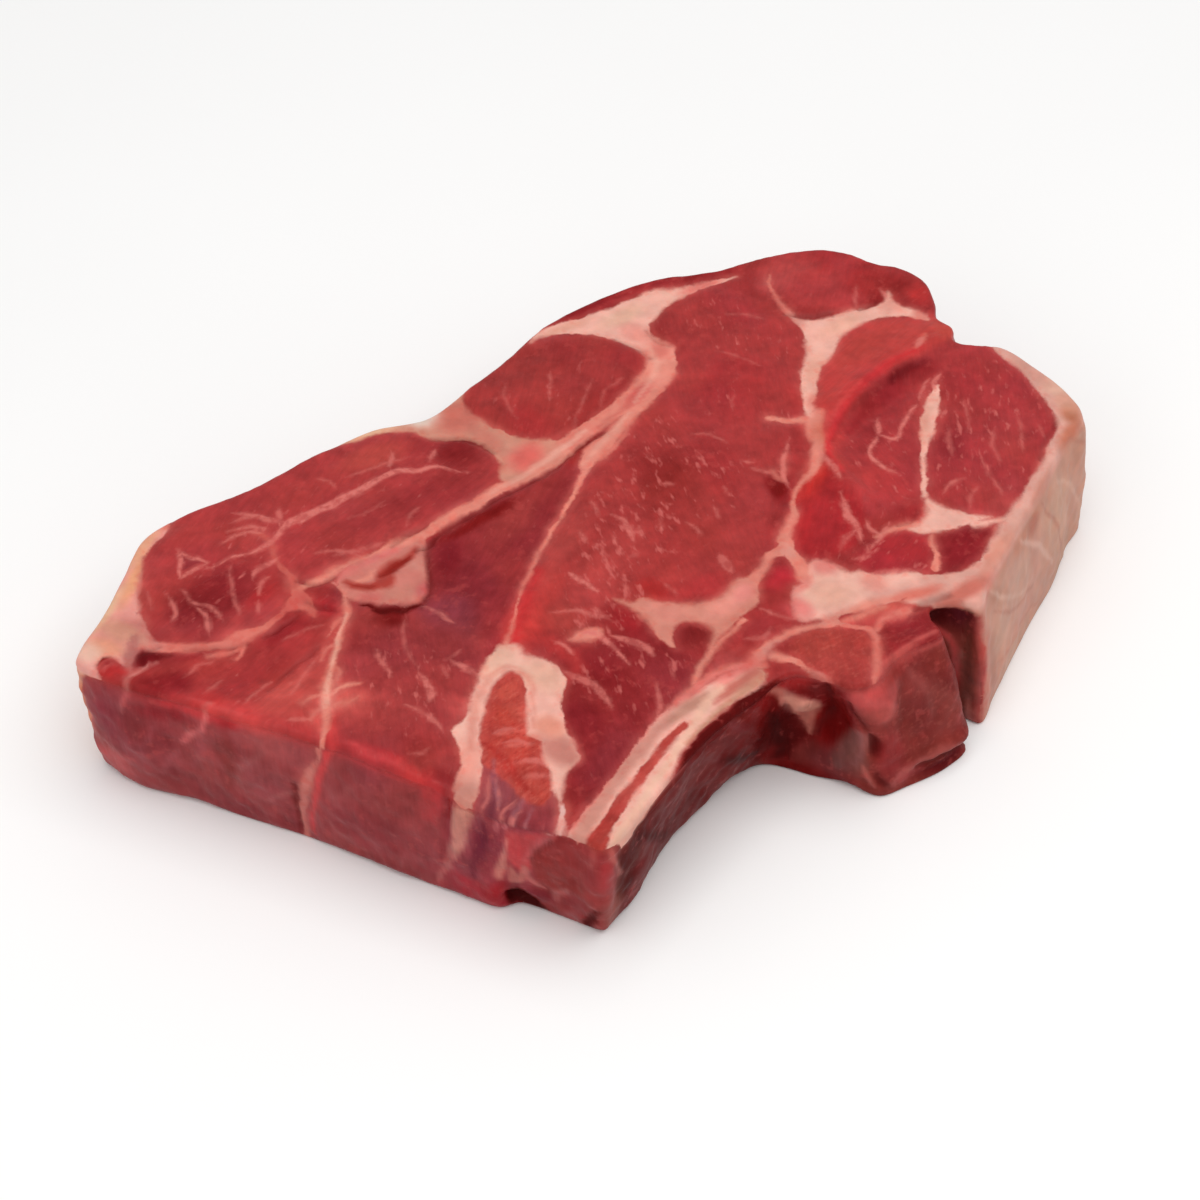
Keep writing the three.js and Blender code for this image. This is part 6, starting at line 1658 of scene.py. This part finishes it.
def wall_faces(rings):
    """Two triangles for each step round the wall between two rows."""
    faces = []
    for upper, lower in zip(rings, rings[1:]):
        next_upper, next_lower = np.roll(upper, -1), np.roll(lower, -1)
        faces.append(np.column_stack([upper, lower, next_lower]))
        faces.append(np.column_stack([upper, next_lower, next_upper]))
    return faces


def make_slab():
    """One closed mesh: points, faces and the fields of every point."""
    along, rim, foot = rim_columns()
    top, top_faces, top_fields = make_top(rim)
    count = len(along)
    wall, rows, side_fields = make_wall(along, rim, foot, top[:count, 2])
    last_row = wall[-count:, :2]
    under, _, _ = lattice(last_row, FOOT_STEP, FOOT_CLEAR)
    points = np.vstack([top, wall, np.column_stack([under, np.zeros(len(under))])])

    rings = [np.arange(count)] + [len(top) + row * count + np.arange(count) for row in range(rows)]
    floor_index = np.concatenate([rings[-1], len(top) + len(wall) + np.arange(len(under))])
    floor_faces = floor_index[triangles(last_row, under)][:, ::-1]
    faces = np.vstack([top_faces, *wall_faces(rings), floor_faces])
    return points, faces, join(top_fields, side_fields, cut_face_fields(under))

# ---------------------------------------------------------------- the pieces

SHARP_ANGLE = math.radians(62)  # edges between faces that turn more than this stay sharp


def placed(points):
    """Points of the plan, in mm, as points of the frame, in metres."""
    return (points - (*PLAN_CENTRE, 0)) * MM


def add_to_scene(thing):
    bpy.context.scene.collection.objects.link(thing)
    return thing


def new_object(name, points, faces):
    """A mesh object over points of the plan, whose faces are rows of their numbers."""
    places = placed(np.asarray(points, dtype=float))
    mesh = bpy.data.meshes.new(name)
    mesh.from_pydata(places.tolist(), [], [list(face) for face in faces])
    mesh.update()
    return add_to_scene(bpy.data.objects.new(name, mesh))


def prism(name, plan, bottom, top):
    """A cutter with an upright side over each side of a plan."""
    outline = np.array(plan, dtype=float)
    step = np.roll(outline, -1, axis=0)
    if (outline[:, 0] * step[:, 1] - outline[:, 1] * step[:, 0]).sum() < 0:
        outline = outline[::-1]
    count = len(outline)
    points = [(x, y, z) for z in (bottom, top) for x, y in outline]
    faces = [range(count - 1, -1, -1), range(count, 2 * count)]
    faces += [(i, (i + 1) % count, count + (i + 1) % count, count + i) for i in range(count)]
    return new_object(name, points, faces)


def upright(plan, bottom=-BEYOND):
    """A maker of the prism over a plan, from a height up past the cut face."""
    return lambda name: prism(name, plan, bottom, THICKNESS + BEYOND)


def rib_strip(name):
    """The boat-shaped cutter of the rib, through cross-sections along its length."""
    top, side, keel = THICKNESS + BEYOND, THICKNESS - RIB_SIDE_DEPTH, THICKNESS - RIB_KEEL_DEPTH
    far, near = RIB_KEEL_SHARES
    section = [(1, top), (1, side), (far, keel), (near, keel), (0, side), (0, top)]
    points = []
    for inner, outer in zip(np.array(RIB_INNER), np.array(RIB_OUTER)):
        points += [(*(inner + (outer - inner) * share), z) for share, z in section]
    size, last = len(section), len(RIB_INNER) - 1
    faces = [range(size - 1, -1, -1), range(last * size, (last + 1) * size)]
    for k, i in itertools.product(range(last), range(size)):
        a, b = k * size + i, k * size + (i + 1) % size
        faces.append((a, b, b + size, a + size))
    return new_object(name, points, faces)


# Node, material slot and cutter of every piece that is taken out of the lean.
CUTS = {
    "fat_cap": ("outside_fat", upright(FAT_CAP_PLAN)),
    "edge_fat": ("outside_fat", upright(EDGE_FAT_PLAN)),
    "backbone": ("spongy_bone", upright(BACKBONE_PLAN)),
    "rib_bone": ("bone", rib_strip),
    "front_bone": ("spongy_bone", upright(FRONT_BONE_PLAN, bottom=BONE_BLOCK_FOOT)),
    "blade_cartilage": ("cartilage", upright(CARTILAGE_PLAN, bottom=THICKNESS - CARTILAGE_DEPTH)),
}


def boolean(target, cutter, operation):
    """The mesh of target after one exact cut."""
    modifier = target.modifiers.new("cut", "BOOLEAN")
    modifier.object = cutter
    modifier.operation = operation
    modifier.solver = "MANIFOLD"
    depsgraph = bpy.context.evaluated_depsgraph_get()
    mesh = bpy.data.meshes.new_from_object(target.evaluated_get(depsgraph))
    target.modifiers.clear()
    if not mesh.vertices:
        raise RuntimeError(f"{cutter.name} leaves nothing of {target.name}")
    return mesh


def cut_pieces(points, faces):
    """Cuts the slab into one object for each node of the frame."""
    slab = new_object("slab", points, faces)
    lean = slab.copy()
    lean.data = slab.data.copy()
    lean.name = "lean_meat_surface"
    add_to_scene(lean)
    pieces = {"lean_meat": (lean, "lean")}
    for node, (slot, make_cutter) in CUTS.items():
        cutter = make_cutter(node + "_cutter")
        piece = bpy.data.objects.new(node + "_surface", boolean(slab, cutter, "INTERSECT"))
        pieces[node] = (add_to_scene(piece), slot)
        lean.data = boolean(lean, cutter, "DIFFERENCE")
        bpy.data.objects.remove(cutter)
    bpy.data.objects.remove(slab)
    return pieces


# ---------------------------------------------------------------- materials

SURFACE_SHARE = 0.86            # of the light that the lit meat sends back
GLOSS_WHITE = 0.012             # linear light that the gloss adds to it
DARKEST = 0.004                 # no colour of a surface gets darker

# Colours that the finish adds to the fields' own.
BLOOM_RED = (206, 82, 78)
MARBLING = (222, 116, 110)
BONE_RIDGE = (224, 112, 98)
BONE_PIT = (160, 44, 40)
FAT_THREAD = (226, 124, 116)
CREASE_SHADE = (84, 22, 22)
BLUSHED = (1.0, 0.66, 0.64, 1.0)    # fat near lean is multiplied by this
PALE_SHEEN = (1.05, 1.16, 1.18, 1.0)     # and the middle of thick fat by this, a painted sheen

# Slot of the record: roughness and how far light goes in.
FINISHES = {
    "lean": (0.40, 0.12),
    "outside_fat": (0.48, 0.16),
    "bone": (0.50, 0.10),
    "spongy_bone": (0.46, 0.10),
    "cartilage": (0.38, 0.18),
}


def paint(colour):
    """A colour of the lit meat as the colour of its surface, less the white that its gloss adds."""
    surface = linear(colour) * SURFACE_SHARE - GLOSS_WHITE
    return np.column_stack([np.maximum(surface, DARKEST), np.ones(len(surface))])


def solid(colour):
    """One such colour, for a shader's input."""
    return tuple(paint([colour])[0].tolist())


def store_fields(mesh, fields):
    """Writes the fields on a mesh's points, for its material to read."""
    facts = np.column_stack([fields["fat"], fields["vein"], fields["spongy"]])
    texture = np.column_stack([fields["marble"], fields["crease"], fields["clear"]])
    attributes = [
        ("lean_rgb", "FLOAT_COLOR", "color", paint(fields["lean_rgb"])),
        ("fat_rgb", "FLOAT_COLOR", "color", paint(fields["fat_rgb"])),
        ("facts", "FLOAT_VECTOR", "vector", facts),
        ("texture", "FLOAT_VECTOR", "vector", texture),
        ("grain", "FLOAT_VECTOR", "vector", fields["grain"]),
    ]
    for name, kind, part, values in attributes:
        attribute = mesh.attributes.new(name, kind, "POINT")
        attribute.data.foreach_set(part, values.astype(np.float32).ravel())


class Finish:
    """A node material, built from left to right."""

    def __init__(self, name):
        self.material = bpy.data.materials.new(name)
        self.material.use_nodes = True
        self.tree = self.material.node_tree
        self.tree.nodes.clear()

    def add(self, kind, inputs, **settings):
        """A node of some kind, whose inputs are numbers or outputs of other nodes."""
        node = self.tree.nodes.new("ShaderNode" + kind)
        for name, value in settings.items():
            setattr(node, name, value)
        for name, value in inputs.items():
            if isinstance(value, bpy.types.NodeSocket):
                self.tree.links.new(value, node.inputs[name])
            else:
                node.inputs[name].default_value = value
        return node

    def attribute(self, name, output):
        return self.add("Attribute", {}, attribute_name=name).outputs[output]

    def place(self):
        return self.add("TexCoord", {}).outputs["Object"]

    def parts(self, vector):
        return self.add("SeparateXYZ", {0: vector}).outputs

    def math(self, operation, a, b=0.0, c=0.0):
        return self.add("Math", {0: a, 1: b, 2: c}, operation=operation).outputs[0]

    def times(self, a, b):
        return self.math("MULTIPLY", a, b)

    def plus(self, base, value, factor):
        """The base, plus a value times a factor."""
        return self.math("MULTIPLY_ADD", value, factor, base)

    def centred(self, noise, middle=0.5):
        return self.math("SUBTRACT", noise, middle)

    def scaled(self, vector, scale):
        return self.add("VectorMath", {0: vector, 1: scale}, operation="MULTIPLY").outputs[0]

    def noise(self, vector, scale=1.0, detail=2.0):
        inputs = {"Vector": vector, "Scale": scale, "Detail": detail}
        return self.add("TexNoise", inputs).outputs["Fac"]

    def ramp(self, value, low, high, start=0.0, end=1.0):
        inputs = {"Value": value, "From Min": low, "From Max": high, "To Min": start, "To Max": end}
        return self.add("MapRange", inputs, interpolation_type="SMOOTHSTEP").outputs[0]

    def mix(self, share, a, b, blend="MIX"):
        inputs = {0: share, 6: a, 7: b}
        return self.add("Mix", inputs, data_type="RGBA", blend_type=blend).outputs[2]

    def tone(self, colour, value):
        """A colour times a number."""
        grey = self.add("CombineXYZ", {0: value, 1: value, 2: value}).outputs[0]
        return self.mix(1.0, colour, grey, "MULTIPLY")

    def show(self, inputs):
        """Ends the material with its surface."""
        shader = self.add("BsdfPrincipled", inputs)
        self.add("OutputMaterial", {"Surface": shader.outputs["BSDF"]})
        return self.material


class Meat(Finish):
    """Lean, fat and bone in one finish, told apart by the fields on the points."""

    def __init__(self, name):
        super().__init__(name)
        self.object_place = self.place()
        self.grain = self.attribute("grain", "Vector")
        self.fat, self.vein, self.spongy = self.parts(self.attribute("facts", "Vector"))
        self.marble, self.crease, self.clear = self.parts(self.attribute("texture", "Vector"))
        self.rag = self.noise(self.object_place, 1100.0, 2.0)
        self.drift = self.noise(self.object_place, 360.0, 3.0)
        self.clouds = self.noise(self.object_place, 240.0, 3.0)
        self.slow = self.noise(self.object_place, 85.0, 2.0)
        self.fibre = self.make_fibre()
        self.ridges, self.pits = self.make_sponge()
        self.in_fat = self.make_fat_edge()

    def make_fibre(self):
        """Bundles of fibres, and finer threads in them."""
        bundles = self.noise(self.scaled(self.grain, (0.15, 0.7, 1.0)), detail=3.0)
        threads = self.noise(self.scaled(self.grain, (0.4, 2.2, 1.0)))
        return self.times(self.centred(self.plus(bundles, threads, 0.2), 0.6), self.clear)

    def make_sponge(self):
        """Spongy bone: short ridges between hollows."""
        sponge = self.noise(self.scaled(self.object_place, (420.0, 780.0, 600.0)), detail=3.0)
        ridges = self.times(self.ramp(sponge, 0.52, 0.72), self.spongy)
        pits = self.times(self.ramp(sponge, 0.48, 0.28), self.spongy)
        return ridges, pits

    def make_fat_edge(self):
        """Where fat is; its edge to the lean is ragged here and soft there."""
        edge = self.plus(self.fat, self.centred(self.drift), 1.7)
        edge = self.plus(edge, self.centred(self.rag), 0.5)
        soft = self.ramp(self.slow, 0.36, 0.62, 0.45, 1.3)
        return self.ramp(edge, self.times(soft, -1.0), soft)

    def lean_colour(self):
        """Lean with its fibres, clouds and blooms."""
        shade = self.ramp(self.fibre, -0.24, 0.24, 0.93, 1.07)
        shade = self.times(shade, self.ramp(self.clouds, 0.3, 0.7, 0.92, 1.08))
        lean = self.tone(self.attribute("lean_rgb", "Color"), shade)
        blooms = self.ramp(self.plus(self.drift, self.slow, 0.5), 0.82, 1.0, 0.0, 0.22)
        return self.mix(blooms, lean, solid(BLOOM_RED))

    def with_marbling(self, lean):
        flecks = self.noise(self.scaled(self.grain, (0.2, 0.46, 1.7)))
        flecks = self.plus(flecks, self.marble, 0.17)
        flecks = self.times(self.ramp(flecks, 0.66, 0.86), self.clear)
        flecks = self.times(flecks, self.ramp(self.marble, 0.0, 0.3, 0.0, 0.6))
        return self.mix(flecks, lean, solid(MARBLING))

    def with_sponge(self, lean):
        lean = self.mix(self.times(self.ridges, 0.7), lean, solid(BONE_RIDGE))
        return self.mix(self.times(self.pits, 0.7), lean, solid(BONE_PIT))

    def fat_colour(self):
        """Fat, pinker near lean and paler in its middle, as a painted sheen."""
        cloud_shade = self.ramp(self.clouds, 0.3, 0.7, 0.94, 1.05)
        tallow = self.tone(self.attribute("fat_rgb", "Color"), cloud_shade)
        blush = self.times(self.ramp(self.drift, 0.45, 0.7), self.ramp(self.fat, 3.2, 0.6, 0.1, 0.6))
        tallow = self.mix(blush, tallow, BLUSHED, "MULTIPLY")
        # The paler middle of thick fat is a painted sheen.
        core = self.times(self.ramp(self.fat, 0.7, 2.6), self.ramp(self.slow, 0.42, 0.62, 0.0, 0.4))
        return self.mix(core, tallow, PALE_SHEEN, "MULTIPLY")

    def with_lines(self, colour):
        """Threads of fat, then the shade in creases."""
        broken = self.times(self.vein, self.ramp(self.drift, 0.34, 0.58, 0.45, 1.0))
        colour = self.mix(broken, colour, solid(FAT_THREAD))
        return self.mix(self.times(self.crease, 0.7), colour, solid(CREASE_SHADE))

    def bump(self):
        """Small relief, in mm: fibres in the lean, clouds and pits."""
        height = self.times(self.math("SUBTRACT", 1.0, self.in_fat), self.times(self.fibre, 0.14))
        height = self.plus(height, self.rag, 0.04)
        height = self.plus(height, self.clouds, 0.16)
        height = self.plus(height, self.pits, -0.25)
        return self.add("Bump", {"Height": height, "Strength": 0.8, "Distance": MM}).outputs["Normal"]


def meat_material(name, roughness, subsurface):
    """The finish of one slot; darker places gloss less."""
    meat = Meat(name)
    lean = meat.with_sponge(meat.with_marbling(meat.lean_colour()))
    colour = meat.with_lines(meat.mix(meat.in_fat, lean, meat.fat_colour()))
    red = meat.parts(colour)[0]
    return meat.show({
        "Base Color": colour,
        "Roughness": meat.ramp(meat.clouds, 0.25, 0.75, roughness - 0.07, roughness + 0.08),
        "Normal": meat.bump(),
        "Specular IOR Level": meat.ramp(red, 0.06, 0.34, 0.02, 0.14),
        "Subsurface Weight": subsurface,
        "Subsurface Radius": (1.0, 0.3, 0.2),
        "Subsurface Scale": MM,
    })


# ---------------------------------------------------------------- the roast


def nearest(tree, mesh):
    """For each point of a mesh, the number of the nearest point in a tree."""
    places = np.empty(3 * len(mesh.vertices), dtype=np.float32)
    mesh.vertices.foreach_get("co", places)
    return np.array([tree.find(place)[1] for place in places.reshape(-1, 3).tolist()])


def make_roast():
    """The slab, cut into its pieces, each with its own fields and finish."""
    points, faces, fields = make_slab()
    tree = point_tree(placed(points))
    materials = {slot: meat_material(slot, *numbers) for slot, numbers in FINISHES.items()}
    for node, (piece, slot) in cut_pieces(points, faces).items():
        store_fields(piece.data, choose(fields, nearest(tree, piece.data)))
        piece.data.shade_smooth()
        piece.data.set_sharp_from_angle(angle=SHARP_ANGLE)
        piece.data.materials.clear()
        piece.data.materials.append(materials[slot])
        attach(piece, "root")
        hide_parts(node)


# ---------------------------------------------------------------- the studio

AIM = Vector((-7.64, 5.72, 22)) * MM    # the camera looks at this point
CAMERA_DISTANCE = 0.86
CAMERA_AZIMUTH = math.radians(-39)
CAMERA_ELEVATION = math.radians(45)
LENS = 85
SENSOR = 36
CLIP_START = 0.01
WORLD_STRENGTH = 0.58
FLOOR_REACH = 6.0               # metres from the middle of the floor to its sides


def direction(azimuth, elevation):
    """Unit vector towards a place seen from the origin; azimuth 0 is the front, towards -Y."""
    flat = math.cos(elevation)
    return Vector((math.sin(azimuth) * flat, -math.cos(azimuth) * flat, math.sin(elevation)))


def turn_from(thing, toward):
    """Turns a camera or lamp so that it looks back from where it stands."""
    thing.rotation_euler = toward.to_track_quat("Z", "Y").to_euler()


def make_camera():
    lens = bpy.data.cameras.new("camera")
    lens.lens = LENS
    lens.sensor_width = SENSOR
    lens.clip_start = CLIP_START
    camera = add_to_scene(bpy.data.objects.new("camera", lens))
    back = direction(CAMERA_AZIMUTH, CAMERA_ELEVATION)
    camera.location = AIM + back * CAMERA_DISTANCE
    turn_from(camera, back)
    bpy.context.scene.camera = camera


def make_light(name, azimuth, elevation, distance, size, power, colour):
    """A square lamp that shines on the origin; angles in degrees, lengths in metres, power in watts."""
    light = bpy.data.lights.new(name, "AREA")
    light.size = size
    light.energy = power
    light.color = colour
    lamp = add_to_scene(bpy.data.objects.new(name, light))
    toward = direction(math.radians(azimuth), math.radians(elevation))
    lamp.location = toward * distance
    turn_from(lamp, toward)


def make_lights():
    make_light(
        "overhead", azimuth=20, elevation=78, distance=1.3,
        size=1.4, power=10.6, colour=(1.0, 0.985, 0.965),
    )
    make_light(
        "side", azimuth=-75, elevation=35, distance=1.4,
        size=0.9, power=2.4, colour=(1.0, 1.0, 1.0),
    )


def make_world():
    world = bpy.data.worlds.new("studio")
    world.use_nodes = True
    background = world.node_tree.nodes["Background"]
    background.inputs["Color"].default_value = (1.0, 1.0, 1.0, 1.0)
    background.inputs["Strength"].default_value = WORLD_STRENGTH
    bpy.context.scene.world = world


def make_floor():
    """A pale, slightly uneven floor, which isn't part of the roast."""
    low, high = -FLOOR_REACH, FLOOR_REACH
    mesh = bpy.data.meshes.new("floor")
    corners = [(low, low, 0), (high, low, 0), (high, high, 0), (low, high, 0)]
    mesh.from_pydata(corners, [], [(0, 1, 2, 3)])
    floor = add_to_scene(bpy.data.objects.new("floor", mesh))
    finish = Finish("pale_floor")
    shade = finish.ramp(finish.noise(finish.place(), 3.0), 0.3, 0.7, 0.93, 0.95)
    colour = finish.tone((1.0, 1.0, 1.0, 1.0), shade)
    surface = {"Base Color": colour, "Roughness": 0.8, "Specular IOR Level": 0.1}
    mesh.materials.append(finish.show(surface))


make_camera()
make_world()
make_lights()
make_floor()
make_roast()
bpy.context.scene.view_settings.view_transform = "Standard"
